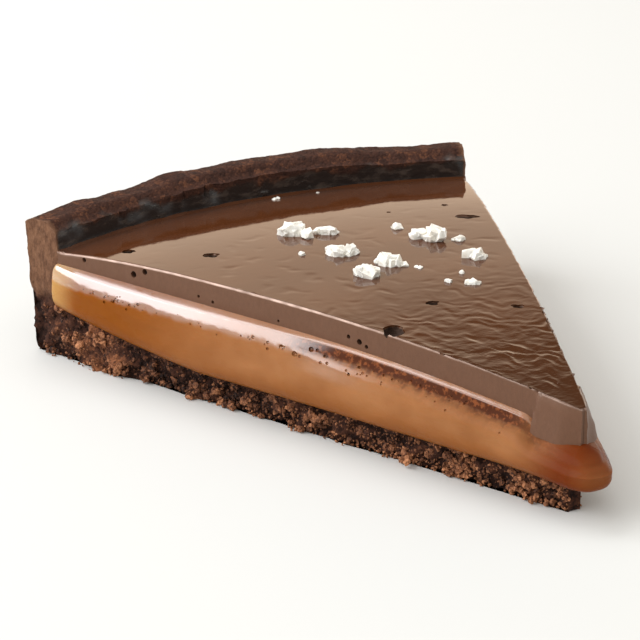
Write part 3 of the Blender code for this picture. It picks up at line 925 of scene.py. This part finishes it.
def crumbs(seed):
    draw = random.Random(seed)
    bm = bmesh.new()
    for side in (-1, 1):
        crags = []
        for _ in range(CRAGS_PER_CUT):
            radius = draw.uniform(CRUST_TIP, INNER_RADIUS)
            height = draw.uniform(0.1, 0.95) * floor_top(radius)
            crags.append((radius, height, draw.uniform(0.3, 1.0) * CRAG_REACH))
        for i in range(CLUMPS_PER_CUT + GRAINS_PER_CUT):
            clump = i < CLUMPS_PER_CUT
            if i % CRUMBS_PER_PART == 0:
                part = bmesh.new()
                shade_layer = part.verts.layers.float.new("shade")
            size = draw.uniform(*(CLUMP_SIZES if clump else GRAIN_SIZES)) * MM
            radius = draw.uniform(CRUST_TIP, INNER_RADIUS + 0.75 * WALL_THICKNESS)
            height = draw.uniform(0.0, 1.0) ** 1.15 * min(floor_top(radius), SMEAR_START + MM)
            outward = -size * draw.uniform(0.0, 0.7)
            if clump and i % 3:
                crag = draw.choice(crags)
                radius = max(CRUST_TIP, crag[0] + draw.gauss(0.0, CRAG_SPREAD))
                height = max(0.0, crag[1] + draw.gauss(0.0, 0.7 * CRAG_SPREAD))
                height = min(height, floor_top(radius))
                outward += draw.uniform(0.0, 1.0) * crag[2]
            if height < 1.2 * MM:
                outward += draw.uniform(0.0, FOOT_SPILL)
            outward += cut_relief(radius, height, side)
            centre = place(radius, side * HALF, height) + cut_outward(side) * outward
            if abs(centre.x) + 1.3 * size > WIDEST:
                centre.x = side * (WIDEST - 1.3 * size)
            # Painted light and shade: a crumb that stands out gets a lighter shade, a sunken one a darker
            # shade.
            proud = blend(LOWEST_RELIEF, HIGHEST_RELIEF, outward)
            lit = 1 - blend(LIT_TIP, LIT_TIP_END, radius)
            shade = 0.55 * proud + 0.45 * draw.random() ** 1.3 + 0.24 * lit
            add_crumb(part, shade_layer, shade, draw, centre, size, 2 if clump else 1)
            if (i + 1) % CRUMBS_PER_PART == 0:
                pour(part, bm)
    return bm


crust_crumbs = finish_piece("crust_crumbs", crumbs(11))

# %% [markdown]
# ## Finishes
#
# The colours are procedural, from noise on object coordinates. Two effects are shared by several
# materials, so each is a node group: patches, which gives soft irregular masks, and grain, which gives
# the height of crushed biscuit and its shade, a random tone per cell with painted light on the raised lumps.

# %% Node helpers and shared groups
def add_node(tree, kind, **settings):
    node = tree.nodes.new(kind)
    for name, value in settings.items():
        setattr(node, name, value)
    return node


def feed(tree, target, value):
    """Links value to a socket if it is an output, and else sets it."""
    if isinstance(value, bpy.types.NodeSocket):
        tree.links.new(value, target)
    else:
        target.default_value = value


def new_group(name, inputs, outputs):
    tree = bpy.data.node_groups.new(name, "ShaderNodeTree")
    for socket, kind, value in inputs:
        made = tree.interface.new_socket(name=socket, in_out="INPUT", socket_type=kind)
        if value is not None:
            made.default_value = value
    for socket, kind in outputs:
        tree.interface.new_socket(name=socket, in_out="OUTPUT", socket_type=kind)
    return tree, add_node(tree, "NodeGroupInput").outputs, add_node(tree, "NodeGroupOutput").inputs


def noise_node(tree, vector, scale, detail=3.0, roughness=0.55):
    node = add_node(tree, "ShaderNodeTexNoise")
    feed(tree, node.inputs["Vector"], vector)
    feed(tree, node.inputs["Scale"], scale)
    node.inputs["Detail"].default_value = detail
    node.inputs["Roughness"].default_value = roughness
    return node.outputs["Fac"]


def range_node(tree, value, low, high, to_low=0.0, to_high=1.0):
    node = add_node(tree, "ShaderNodeMapRange", interpolation_type="SMOOTHSTEP")
    feed(tree, node.inputs["Value"], value)
    feed(tree, node.inputs["From Min"], low)
    feed(tree, node.inputs["From Max"], high)
    feed(tree, node.inputs["To Min"], to_low)
    feed(tree, node.inputs["To Max"], to_high)
    return node.outputs["Result"]


def maths(tree, operation, a, b=0.0, clamp=False):
    node = add_node(tree, "ShaderNodeMath", operation=operation, use_clamp=clamp)
    feed(tree, node.inputs[0], a)
    feed(tree, node.inputs[1], b)
    return node.outputs[0]


def mix_colour(tree, share, a, b):
    node = add_node(tree, "ShaderNodeMix", data_type="RGBA")
    feed(tree, node.inputs["Factor"], share)
    feed(tree, node.inputs[6], a if isinstance(a, bpy.types.NodeSocket) else (*a, 1.0))
    feed(tree, node.inputs[7], b if isinstance(b, bpy.types.NodeSocket) else (*b, 1.0))
    return node.outputs[2]


def colour_ramp(tree, value, stops):
    """Colours by value. The stops are (position, colour), with the lowest and the highest first."""
    node = add_node(tree, "ShaderNodeValToRGB")
    feed(tree, node.inputs["Fac"], value)
    elements = node.color_ramp.elements
    for index, (position, colour) in enumerate(stops):
        element = elements[index] if index < 2 else elements.new(position)
        element.position = position
        element.color = (*colour, 1.0)
    return node.outputs["Color"]


def mix_value(tree, share, a, b):
    node = add_node(tree, "ShaderNodeMix", data_type="FLOAT")
    feed(tree, node.inputs["Factor"], share)
    feed(tree, node.inputs[2], a)
    feed(tree, node.inputs[3], b)
    return node.outputs[0]


patches, patch_in, patch_out = new_group(
    "patches",
    [("Vector", "NodeSocketVector", None), ("Scale", "NodeSocketFloat", 100.0),
     ("Low", "NodeSocketFloat", 0.4), ("High", "NodeSocketFloat", 0.6)],
    [("Mask", "NodeSocketFloat")],
)
cloud = noise_node(patches, patch_in["Vector"], patch_in["Scale"])
feed(patches, patch_out["Mask"], range_node(patches, cloud, patch_in["Low"], patch_in["High"]))

grain, grain_in, grain_out = new_group(
    "grain",
    [("Vector", "NodeSocketVector", None), ("Scale", "NodeSocketFloat", 900.0)],
    [("Height", "NodeSocketFloat"), ("Shade", "NodeSocketFloat")],
)
cells = add_node(grain, "ShaderNodeTexVoronoi", feature="F1")
feed(grain, cells.inputs["Vector"], grain_in["Vector"])
feed(grain, cells.inputs["Scale"], grain_in["Scale"])
cells.inputs["Randomness"].default_value = 1.0
broader = maths(grain, "MULTIPLY", grain_in["Scale"], 0.45)
lumps = noise_node(grain, grain_in["Vector"], broader, detail=5.0, roughness=0.7)
rounding = maths(grain, "MULTIPLY", cells.outputs["Distance"], 0.5)
feed(grain, grain_out["Height"], maths(grain, "SUBTRACT", lumps, rounding))
shade = add_node(grain, "ShaderNodeSeparateColor")
feed(grain, shade.inputs[0], cells.outputs["Color"])
# The shade is lighter where the lumps rise: painted light on the raised lumps, mixed with a random tone per
# cell.
feed(grain, grain_out["Shade"], mix_value(grain, 0.5, shade.outputs[0], lumps))


def place_group(tree, group, **inputs):
    node = add_node(tree, "ShaderNodeGroup", node_tree=group)
    for name, value in inputs.items():
        feed(tree, node.inputs[name], value)
    return node.outputs


def new_material(name):
    material = bpy.data.materials.new(name)
    material.use_nodes = True
    tree = material.node_tree
    shader = tree.nodes["Principled BSDF"]
    coordinates = add_node(tree, "ShaderNodeTexCoord").outputs["Object"]
    return material, tree, shader.inputs, coordinates


def stretched(tree, coordinates, scale, turn=0.0):
    node = add_node(tree, "ShaderNodeMapping")
    feed(tree, node.inputs["Vector"], coordinates)
    node.inputs["Rotation"].default_value = (0.0, 0.0, turn)
    node.inputs["Scale"].default_value = scale
    return node.outputs[0]


def stored(tree, name):
    return add_node(tree, "ShaderNodeAttribute", attribute_name=name).outputs["Fac"]


def bump(tree, height, distance, strength=1.0, normal=None):
    node = add_node(tree, "ShaderNodeBump")
    feed(tree, node.inputs["Height"], height)
    node.inputs["Distance"].default_value = distance
    node.inputs["Strength"].default_value = strength
    if normal is not None:
        feed(tree, node.inputs["Normal"], normal)
    return node.outputs[0]


def dress(piece, material):
    piece.data.materials.clear()
    piece.data.materials.append(material)


# %% [markdown]
# The caramel is satin, with a wet shoulder. It is golden where it thins out at the wall, and deep orange
# where it turns round the nose. Stored masks mark these places, the band that the knife stained with
# chocolate, and how wet the surface is, which the coat layer of the shader turns into a white reflection.

# %% Caramel masks
STAIN_UNEVENNESS = ((0.4, 1.4, 0.0), (0.3, 0.6, 0.0))
WET_DEPTH = 2.4 * MM
WET_UNEVENNESS = ((0.25, 1.2, 0.0),)
WET_PAST_MIDDLE = 0.65
STREAK_WETNESS = 0.6
LOWER_WETNESS = 0.52
LOWER_MIDDLE = 51 * MM
LOWER_SPREAD = 8 * MM
NOSE_MIDDLE = 0.5 * MM
NOSE_SPREAD = 6.0 * MM


def stain_at(point):
    radius = from_tip(point)
    depth = seam(radius) - point.z
    low_limit = STAIN_DEPTH + uneven(point, STAIN_UNEVENNESS)
    below_limit = 0.75 * blend(low_limit - 0.5 * MM, low_limit + 0.3 * MM, depth)
    below_limit += 0.25 * blend(low_limit, low_limit + 2.2 * MM, depth)
    in_band = blend(LEDGE_DROP - 0.1 * MM, LEDGE_DROP + 0.2 * MM, depth) * (1 - below_limit)
    return in_band * ledge_share(radius - 4 * MM) * blend(2 * MM, 9 * MM, radius)


def nose_at(point):
    return math.exp(-(((point.y - NOSE_MIDDLE) / NOSE_SPREAD) ** 2))


def thin_end_at(point):
    radius = point.length
    return blend(103 * MM, 110 * MM, radius) * blend(floor_top(radius), floor_top(radius) + 2 * MM, point.z)


def deep_and_shaded_at(point):
    """1 where the caramel is painted darker and deeper orange: near the wall as painted shade from the rim,
    and low down all along.
    """
    radius = from_tip(point)
    level = (point.z - floor_top(radius)) / (seam(radius) - floor_top(radius))
    near_wall = blend(58 * MM, 96 * MM, radius)
    low_down = 1 - blend(0.05, 0.5, level)
    return max(near_wall * (1 - thin_end_at(point)), 0.7 * low_down)


def wet_shoulder_at(point):
    """How wet the caramel is: its shoulder, and where there is a ledge only that and a short lower streak."""
    radius = from_tip(point)
    depth = seam(radius) - point.z
    share = ledge_share(radius)
    limit = WET_DEPTH + uneven(point, WET_UNEVENNESS)
    shoulder = (1 - blend(limit, limit + 0.6 * MM, depth)) * blend(20 * MM, LEDGE_START, radius)
    shoulder *= WET_PAST_MIDDLE + (1 - WET_PAST_MIDDLE) * blend(60 * MM, 84 * MM, radius)
    on_ledge = 1 - blend(LEDGE_DROP - 0.1 * MM, LEDGE_DROP + 0.15 * MM, depth)
    streak = STREAK_WETNESS * on_ledge * blend(3 * MM, 10 * MM, radius)
    below = blend(STAIN_DEPTH - 0.2 * MM, STAIN_DEPTH + 0.4 * MM, depth)
    below *= 1 - blend(4.6 * MM, 6.0 * MM, depth)
    lower = LOWER_WETNESS * below * math.exp(-(((radius - LOWER_MIDDLE) / LOWER_SPREAD) ** 2))
    return (1 - share) * shoulder + share * max(streak, lower)


write_mask(caramel, "stain", stain_at)
write_mask(caramel, "nose", nose_at)
write_mask(caramel, "thin_end", thin_end_at)
write_mask(caramel, "deep", deep_and_shaded_at)
write_mask(caramel, "wet", wet_shoulder_at)

# %% Caramel finish
CARAMEL_DARK = (0.270, 0.105, 0.036)
CARAMEL_LIGHT = (0.340, 0.143, 0.054)
CARAMEL_DEEP_AND_SHADED = (0.215, 0.060, 0.006)
CARAMEL_GOLD = (0.42, 0.22, 0.065)
CARAMEL_NOSE = (0.122, 0.017, 0.0005)
STAIN = (0.070, 0.020, 0.008)
STAIN_FLECK = (0.200, 0.060, 0.020)
STAIN_ROUGHNESS = 0.42

caramel_finish, tree, sockets, where = new_material("caramel_satin")
cloudy = place_group(tree, patches, Vector=where, Scale=90.0, Low=0.3, High=0.7)["Mask"]
colour = mix_colour(tree, cloudy, CARAMEL_DARK, CARAMEL_LIGHT)
# Near the wall this darker colour is painted shade from the rim; low down it is a deeper orange.
colour = mix_colour(tree, stored(tree, "deep"), colour, CARAMEL_DEEP_AND_SHADED)
colour = mix_colour(tree, stored(tree, "thin_end"), colour, CARAMEL_GOLD)
colour = mix_colour(tree, maths(tree, "MULTIPLY", stored(tree, "nose"), 0.92), colour, CARAMEL_NOSE)
flecks = place_group(tree, patches, Vector=where, Scale=1300.0, Low=0.48, High=0.66)["Mask"]
colour = mix_colour(tree, stored(tree, "stain"), colour, mix_colour(tree, flecks, STAIN, STAIN_FLECK))
feed(tree, sockets["Base Color"], colour)
streaks = noise_node(tree, stretched(tree, where, (1.0, 1.0, 2.5)), 260.0, detail=4.0)
satin = range_node(tree, streaks, 0.3, 0.7, 0.24, 0.36)
feed(tree, sockets["Roughness"], mix_value(tree, stored(tree, "stain"), satin, STAIN_ROUGHNESS))
feed(tree, sockets["Normal"], bump(tree, streaks, 0.0002, 0.25))
sockets["Subsurface Weight"].default_value = 0.1
sockets["Subsurface Scale"].default_value = 0.002
sockets["Specular IOR Level"].default_value = 0.05
feed(tree, sockets["Coat Weight"], stored(tree, "wet"))
sockets["Coat IOR"].default_value = 2.5
sockets["Coat Roughness"].default_value = 0.17
dress(caramel, caramel_finish)

# %% [markdown]
# The ganache mirrors the bright room on its skin, and is satin where it was cut. Stored masks tell the cut
# and the hollows from the skin by their depth below it; the hollows get painted shade. Others mark the thin
# round edge, which gets a painted pale highlight, and the rippled part, which gets painted shade and has finer
# wrinkles in its bump.

# %% Ganache masks
def below_skin(point):
    return ganache_skin(Vector((point.x, point.y, 0.0))) - point.z


def inside_cuts(point):
    """How far a point lies inside the nearer cut."""
    radius, angle = polar(point)
    return radius * math.sin(HALF - abs(angle))


def cut_at(point):
    return blend(0.12 * MM, 0.4 * MM, below_skin(point))


def hollow_at(point):
    return blend(0.15 * MM, 0.5 * MM, below_skin(point)) * blend(0.2 * MM, 0.5 * MM, inside_cuts(point))


def edge_highlight_at(point):
    """1 on the thin round edge between the skin and a cut, where a pale highlight is painted."""
    near_cut = 1 - blend(0.15 * MM, 0.5 * MM, inside_cuts(point))
    depth = below_skin(point)
    in_edge = blend(0.0, 0.07 * MM, depth) * (1 - blend(0.16 * MM, 0.36 * MM, depth))
    fading = 0.35 + 0.65 * blend(28 * MM, 60 * MM, point.length)
    broken = 0.75 + 0.6 * rough(point, 1.6 * MM, 3.0)
    return near_cut * in_edge * min(1.0, fading * broken)


def rippled_at(point):
    return 1 - blend(14 * MM, 62 * MM, point.length)


write_mask(ganache, "cut", cut_at)
write_mask(ganache, "hollow", hollow_at)
write_mask(ganache, "edge", edge_highlight_at)
write_mask(ganache, "rippled", rippled_at)

# %% Ganache finish
SKIN_DARK = (0.068, 0.020, 0.006)
SKIN_LIGHT = (0.084, 0.026, 0.008)
SKIN_TIP_SHADE = (0.030, 0.009, 0.003)
SLICED_DARK = (0.086, 0.035, 0.018)
SLICED_LIGHT = (0.138, 0.060, 0.032)
EDGE_HIGHLIGHT = (0.62, 0.43, 0.35)
HOLLOW_SHADE = (0.022, 0.009, 0.005)
SKIN_ROUGHNESS = 0.055
SLICED_ROUGHNESS = 0.45
HOLLOW_ROUGHNESS = 0.9
ALONG_FOLDS = math.radians(30)

ganache_finish, tree, sockets, where = new_material("ganache_gloss")
on_cut = stored(tree, "cut")
cloudy = place_group(tree, patches, Vector=where, Scale=60.0, Low=0.3, High=0.7)["Mask"]
skin = mix_colour(tree, cloudy, SKIN_DARK, SKIN_LIGHT)
# Painted shade: the rippled part near the tip is coloured darker.
skin = mix_colour(tree, maths(tree, "MULTIPLY", stored(tree, "rippled"), 0.6), skin, SKIN_TIP_SHADE)
scored = noise_node(tree, stretched(tree, where, (1.0, 1.0, 0.6)), 1500.0, detail=5.0, roughness=0.7)
colour = mix_colour(tree, on_cut, skin, mix_colour(tree, scored, SLICED_DARK, SLICED_LIGHT))
# Painted highlight: a pale line along the thin round edge.
colour = mix_colour(tree, stored(tree, "edge"), colour, EDGE_HIGHLIGHT)
# Painted shade: the pits and holes are coloured nearly black.
feed(tree, sockets["Base Color"], mix_colour(tree, stored(tree, "hollow"), colour, HOLLOW_SHADE))
dullness = mix_value(tree, on_cut, SKIN_ROUGHNESS, SLICED_ROUGHNESS)
feed(tree, sockets["Roughness"], mix_value(tree, stored(tree, "hollow"), dullness, HOLLOW_ROUGHNESS))
drawn_out = noise_node(tree, stretched(tree, where, (1.0, 3.0, 3.0), ALONG_FOLDS), 330.0, detail=3.0)
swayed = add_node(tree, "ShaderNodeVectorMath", operation="MULTIPLY_ADD")
drift = add_node(tree, "ShaderNodeTexNoise")
feed(tree, drift.inputs["Vector"], where)
drift.inputs["Scale"].default_value = 300.0
feed(tree, swayed.inputs[0], drift.outputs["Color"])
swayed.inputs[1].default_value = (0.0016, 0.0016, 0.0016)
feed(tree, swayed.inputs[2], where)
along_folds = stretched(tree, swayed.outputs["Vector"], (1.0, 2.6, 2.6), ALONG_FOLDS)
wrinkled = noise_node(tree, along_folds, 420.0, detail=2.0)
wrinkled = maths(tree, "MULTIPLY", maths(tree, "MULTIPLY", wrinkled, stored(tree, "rippled")), 1.6)
calm_skin = maths(tree, "ADD", wrinkled, maths(tree, "MULTIPLY", drawn_out, 0.1))
relief = mix_value(tree, on_cut, calm_skin, maths(tree, "MULTIPLY", scored, 0.6))
feed(tree, sockets["Normal"], bump(tree, relief, 0.0001, 0.5))
sockets["Specular Tint"].default_value = (1.0, 0.82, 0.66, 1.0)
dress(ganache, ganache_finish)

# %% [markdown]
# Salt is white because its crystals scatter light inside. A little subsurface scattering gives that, and
# flat facets with low roughness give the sparkle.

# %% Salt finish
SALT_FROSTED = (0.93, 0.90, 0.82)
SALT_CLEAR = (0.80, 0.75, 0.65)

salt_finish, tree, sockets, where = new_material("salt_white")
frosted = place_group(tree, patches, Vector=where, Scale=900.0, Low=0.35, High=0.65)["Mask"]
feed(tree, sockets["Base Color"], mix_colour(tree, frosted, SALT_CLEAR, SALT_FROSTED))
feed(tree, sockets["Roughness"], mix_value(tree, frosted, 0.22, 0.5))
sockets["Subsurface Weight"].default_value = 0.3
sockets["Subsurface Radius"].default_value = (1.0, 1.0, 1.0)
sockets["Subsurface Scale"].default_value = 0.0008
dress(salt, salt_finish)

# %% [markdown]
# The crust is nearly black where crumbs shade each other and red brown where they catch the light. Its
# inner wall was brushed with chocolate when the ganache was poured, so it is wet and darker. The cuts of the
# wall are smeared to a smooth, lighter brown.

# %% Crust masks
WET_BELOW_RIM = 1.9 * MM
WET_EDGE = ((1.3, 5.0, 0.0), (0.6, 1.6, 0.0))
EVERYWHERE_ELSE = 0.40


def wet_at(point):
    radius = from_tip(point)
    above = blend(ganache_top(INNER_RADIUS) - MM, ganache_top(INNER_RADIUS), point.z)
    inside = 1 - blend(INNER_RADIUS + 1.2 * MM, INNER_RADIUS + 2.6 * MM, radius)
    limit = RIM_HEIGHT - WET_BELOW_RIM + uneven(point, WET_EDGE)
    below_rim = 1 - blend(limit - 0.5 * MM, limit + 0.3 * MM, point.z)
    return above * inside * below_rim * blend(0.1 * MM, 0.5 * MM, inside_cuts(point))


def smeared_at(point):
    """1 on the smooth smear of the wall's cuts."""
    return blend(SMEAR_START, SMEAR_END, point.z) * (1 - blend(0.3 * MM, 0.8 * MM, inside_cuts(point)))


def proud_at(point):
    """How far a point of the crumbly cut stands out, for painted light and shade, and one value everywhere
    else.
    """
    if point.z > SMEAR_END or inside_cuts(point) > 3 * MM:
        return EVERYWHERE_ELSE
    return blend(LOWEST_RELIEF, HIGHEST_RELIEF, -inside_cuts(point))


def torn_at(point):
    """1 on the cuts and 0 on the rim, the outer wall and the underside."""
    return 1 - blend(1.5 * MM, 2.5 * MM, inside_cuts(point))


write_mask(crust, "proud", proud_at)
write_mask(crust, "torn", torn_at)
write_mask(crust, "wet", wet_at)
write_mask(crust, "smeared", smeared_at)

# %% Crust finish
COARSE_GRAIN = 650.0
FINE_GRAIN = 2200.0
BISCUIT_STOPS = ((0.30, (0.016, 0.007, 0.005)), (0.72, (0.270, 0.102, 0.044)), (0.52, (0.070, 0.027, 0.016)))
SMEAR_DARK = (0.070, 0.028, 0.014)
SMEAR_LIGHT = (0.205, 0.100, 0.054)
RIM_DULL = (0.040, 0.019, 0.014)
WET_DARK = (0.009, 0.006, 0.005)
WET_LIGHT = (0.050, 0.036, 0.028)

crust_finish, tree, sockets, where = new_material("crust_biscuit")
coarse = place_group(tree, grain, Vector=where, Scale=COARSE_GRAIN)
fine = place_group(tree, grain, Vector=where, Scale=FINE_GRAIN)
shades = mix_value(tree, 0.5, coarse["Shade"], fine["Shade"])
# Painted light and shade: crumb that stands out is coloured red brown and sunken crumb nearly black.
biscuit = colour_ramp(tree, mix_value(tree, 0.35, shades, stored(tree, "proud")), BISCUIT_STOPS)
smear = noise_node(tree, stretched(tree, where, (1.0, 1.0, 0.45)), 900.0, detail=6.0, roughness=0.75)
smooth_brown = mix_colour(tree, range_node(tree, smear, 0.3, 0.7), SMEAR_DARK, SMEAR_LIGHT)
colour = mix_colour(tree, stored(tree, "smeared"), biscuit, smooth_brown)
colour = mix_colour(tree, stored(tree, "torn"), mix_colour(tree, 0.4, colour, RIM_DULL), colour)
runs = noise_node(tree, stretched(tree, where, (1.0, 1.0, 2.5)), 320.0, detail=4.0)
wet_brown = mix_colour(tree, range_node(tree, runs, 0.45, 0.7), WET_DARK, WET_LIGHT)
colour = mix_colour(tree, stored(tree, "wet"), colour, wet_brown)
feed(tree, sockets["Base Color"], colour)
dry = mix_value(tree, stored(tree, "smeared"), 0.85, 0.55)
feed(tree, sockets["Roughness"], mix_value(tree, stored(tree, "wet"), dry, 0.13))
height = mix_value(tree, 0.5, coarse["Height"], fine["Height"])
smoothed = maths(tree, "MAXIMUM", stored(tree, "smeared"), maths(tree, "MULTIPLY", stored(tree, "wet"), 1.25))
height = maths(tree, "MULTIPLY", height, mix_value(tree, smoothed, 1.0, 0.3))
feed(tree, sockets["Normal"], bump(tree, height, 0.0007, 0.8))
sockets["Specular IOR Level"].default_value = 0.12
feed(tree, sockets["Coat Weight"], stored(tree, "wet"))
sockets["Coat Roughness"].default_value = 0.12
dress(crust, crust_finish)

# %% [markdown]
# The loose crumbs are the same biscuit. The shade that each one carries sets its colour, with a little grain
# on top, so that neighbouring crumbs differ as they do on a torn edge; that shade also holds painted light and
# shade.

# %% Crumb finish
CRUMB_GRAIN = 2600.0
CRUMB_STOPS = ((0.22, (0.018, 0.008, 0.006)), (0.88, (0.500, 0.215, 0.098)), (0.52, (0.175, 0.066, 0.029)))

crumb_finish, tree, sockets, where = new_material("crumb_biscuit")
fine = place_group(tree, grain, Vector=where, Scale=CRUMB_GRAIN)
shades = mix_value(tree, 0.35, stored(tree, "shade"), fine["Shade"])
feed(tree, sockets["Base Color"], colour_ramp(tree, shades, CRUMB_STOPS))
sockets["Roughness"].default_value = 0.8
sockets["Specular IOR Level"].default_value = 0.3
feed(tree, sockets["Normal"], bump(tree, fine["Height"], 0.0003, 0.7))
dress(crust_crumbs, crumb_finish)

# %% [markdown]
# ## Room
#
# A plain pale floor, a large soft window at the back on the left, a smaller one above the back, and an even
# room with a warm wall at the back on the right. The large window's mirror image makes the white band on the
# caramel's shoulder and, with a painted pale highlight, the thin line along the edge. The wall's makes the
# sheen on the ganache, which fades towards the tip because the wall is brightest low down and the tip has
# painted shade.

# %% Floor
FLOOR_REACH = 3.0
FLOOR_COLOUR = (0.635, 0.63, 0.60, 1.0)

floor_mesh = bpy.data.meshes.new("floor")
bm = bmesh.new()
bmesh.ops.create_grid(bm, x_segments=1, y_segments=1, size=FLOOR_REACH)
bm.to_mesh(floor_mesh)
bm.free()
floor = bpy.data.objects.new("floor", floor_mesh)
bpy.context.scene.collection.objects.link(floor)
floor_finish, tree, sockets, where = new_material("floor_pale")
sockets["Base Color"].default_value = FLOOR_COLOUR
sockets["Roughness"].default_value = 0.85
dress(floor, floor_finish)
floor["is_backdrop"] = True


# %% Windows
def soft_light(name, azimuth, elevation, distance, size, radiance, colour):
    """A rectangular light aimed at the slice. Azimuth is turned from +Y towards +X."""
    data = bpy.data.lights.new(name, "AREA")
    data.shape = "RECTANGLE"
    data.size, data.size_y = size
    data.energy = radiance * math.pi * size[0] * size[1]
    data.color = colour
    light = bpy.data.objects.new(name, data)
    turn, rise = math.radians(azimuth), math.radians(elevation)
    away = Vector((math.sin(turn) * math.cos(rise), math.cos(turn) * math.cos(rise), math.sin(rise)))
    light.location = away * distance
    light.rotation_euler = away.to_track_quat("Z", "Y").to_euler()
    bpy.context.scene.collection.objects.link(light)
    return light


DAYLIGHT = (0.93, 0.95, 1.0)
WINDOW_DISTANCE = 0.9
soft_light("window", -70.0, 37.0, WINDOW_DISTANCE, (1.30, 0.62), 3.6, DAYLIGHT)
soft_light("roof_window", -8.0, 58.0, WINDOW_DISTANCE, (0.65, 0.42), 3.4, DAYLIGHT)

# %% [markdown]
# The world is coloured by direction. Its strength is even, apart from the wall, whose strength falls with
# the height of the direction that it is seen in.

# %% World
ROOM = 0.9
ROOM_COLOUR = (1.0, 1.0, 0.98)
WALL_COLOUR = (1.0, 0.80, 0.60)
WALL_AZIMUTH = math.radians(30.0)
WALL_PEAK = 1.7
WALL_STRENGTH = ((0.17, 1.0), (0.75, 0.10), (0.36, 0.64), (0.46, 0.36), (0.57, 0.10))
world = bpy.data.worlds.new("room")
world.use_nodes = True
background = world.node_tree.nodes["Background"]
tree = world.node_tree
direction = add_node(tree, "ShaderNodeTexCoord").outputs["Generated"]
split = add_node(tree, "ShaderNodeSeparateXYZ")
feed(tree, split.inputs[0], direction)
strengths = [(height, (strength, strength, strength)) for height, strength in WALL_STRENGTH]
by_height = colour_ramp(tree, split.outputs["Z"], strengths)
towards = add_node(tree, "ShaderNodeVectorMath", operation="DOT_PRODUCT")
feed(tree, towards.inputs[0], direction)
towards.inputs[1].default_value = (math.sin(WALL_AZIMUTH), math.cos(WALL_AZIMUTH), 0.0)
at_wall = range_node(tree, towards.outputs["Value"], 0.45, 0.75)
wall_strength = maths(tree, "MULTIPLY", by_height, WALL_PEAK)
feed(tree, background.inputs["Strength"], mix_value(tree, at_wall, ROOM, wall_strength))
feed(tree, background.inputs["Color"], mix_colour(tree, at_wall, ROOM_COLOUR, WALL_COLOUR))
bpy.context.scene.world = world
bpy.context.scene.view_settings.view_transform = "Standard"

# %% [markdown]
# ## Pieces
#
# Each piece rides on the slice's only body, and the solids that it stands for are hidden.

# %% Pieces and their solids
for piece, solids, slot in (
    (caramel, ["caramel"], "caramel"),
    (ganache, ["ganache"], "ganache"),
    (salt, ["ganache"], "salt"),
    (crust, ["crust"], "crust"),
    (crust_crumbs, ["crust"], "crust"),
):
    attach(piece, "root")
    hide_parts(*solids)

scene_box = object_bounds()
for title, (low, high) in (("solids", cad_box), ("dressed", scene_box)):
    print(title, [round(side / MM, 1) for side in high - low])
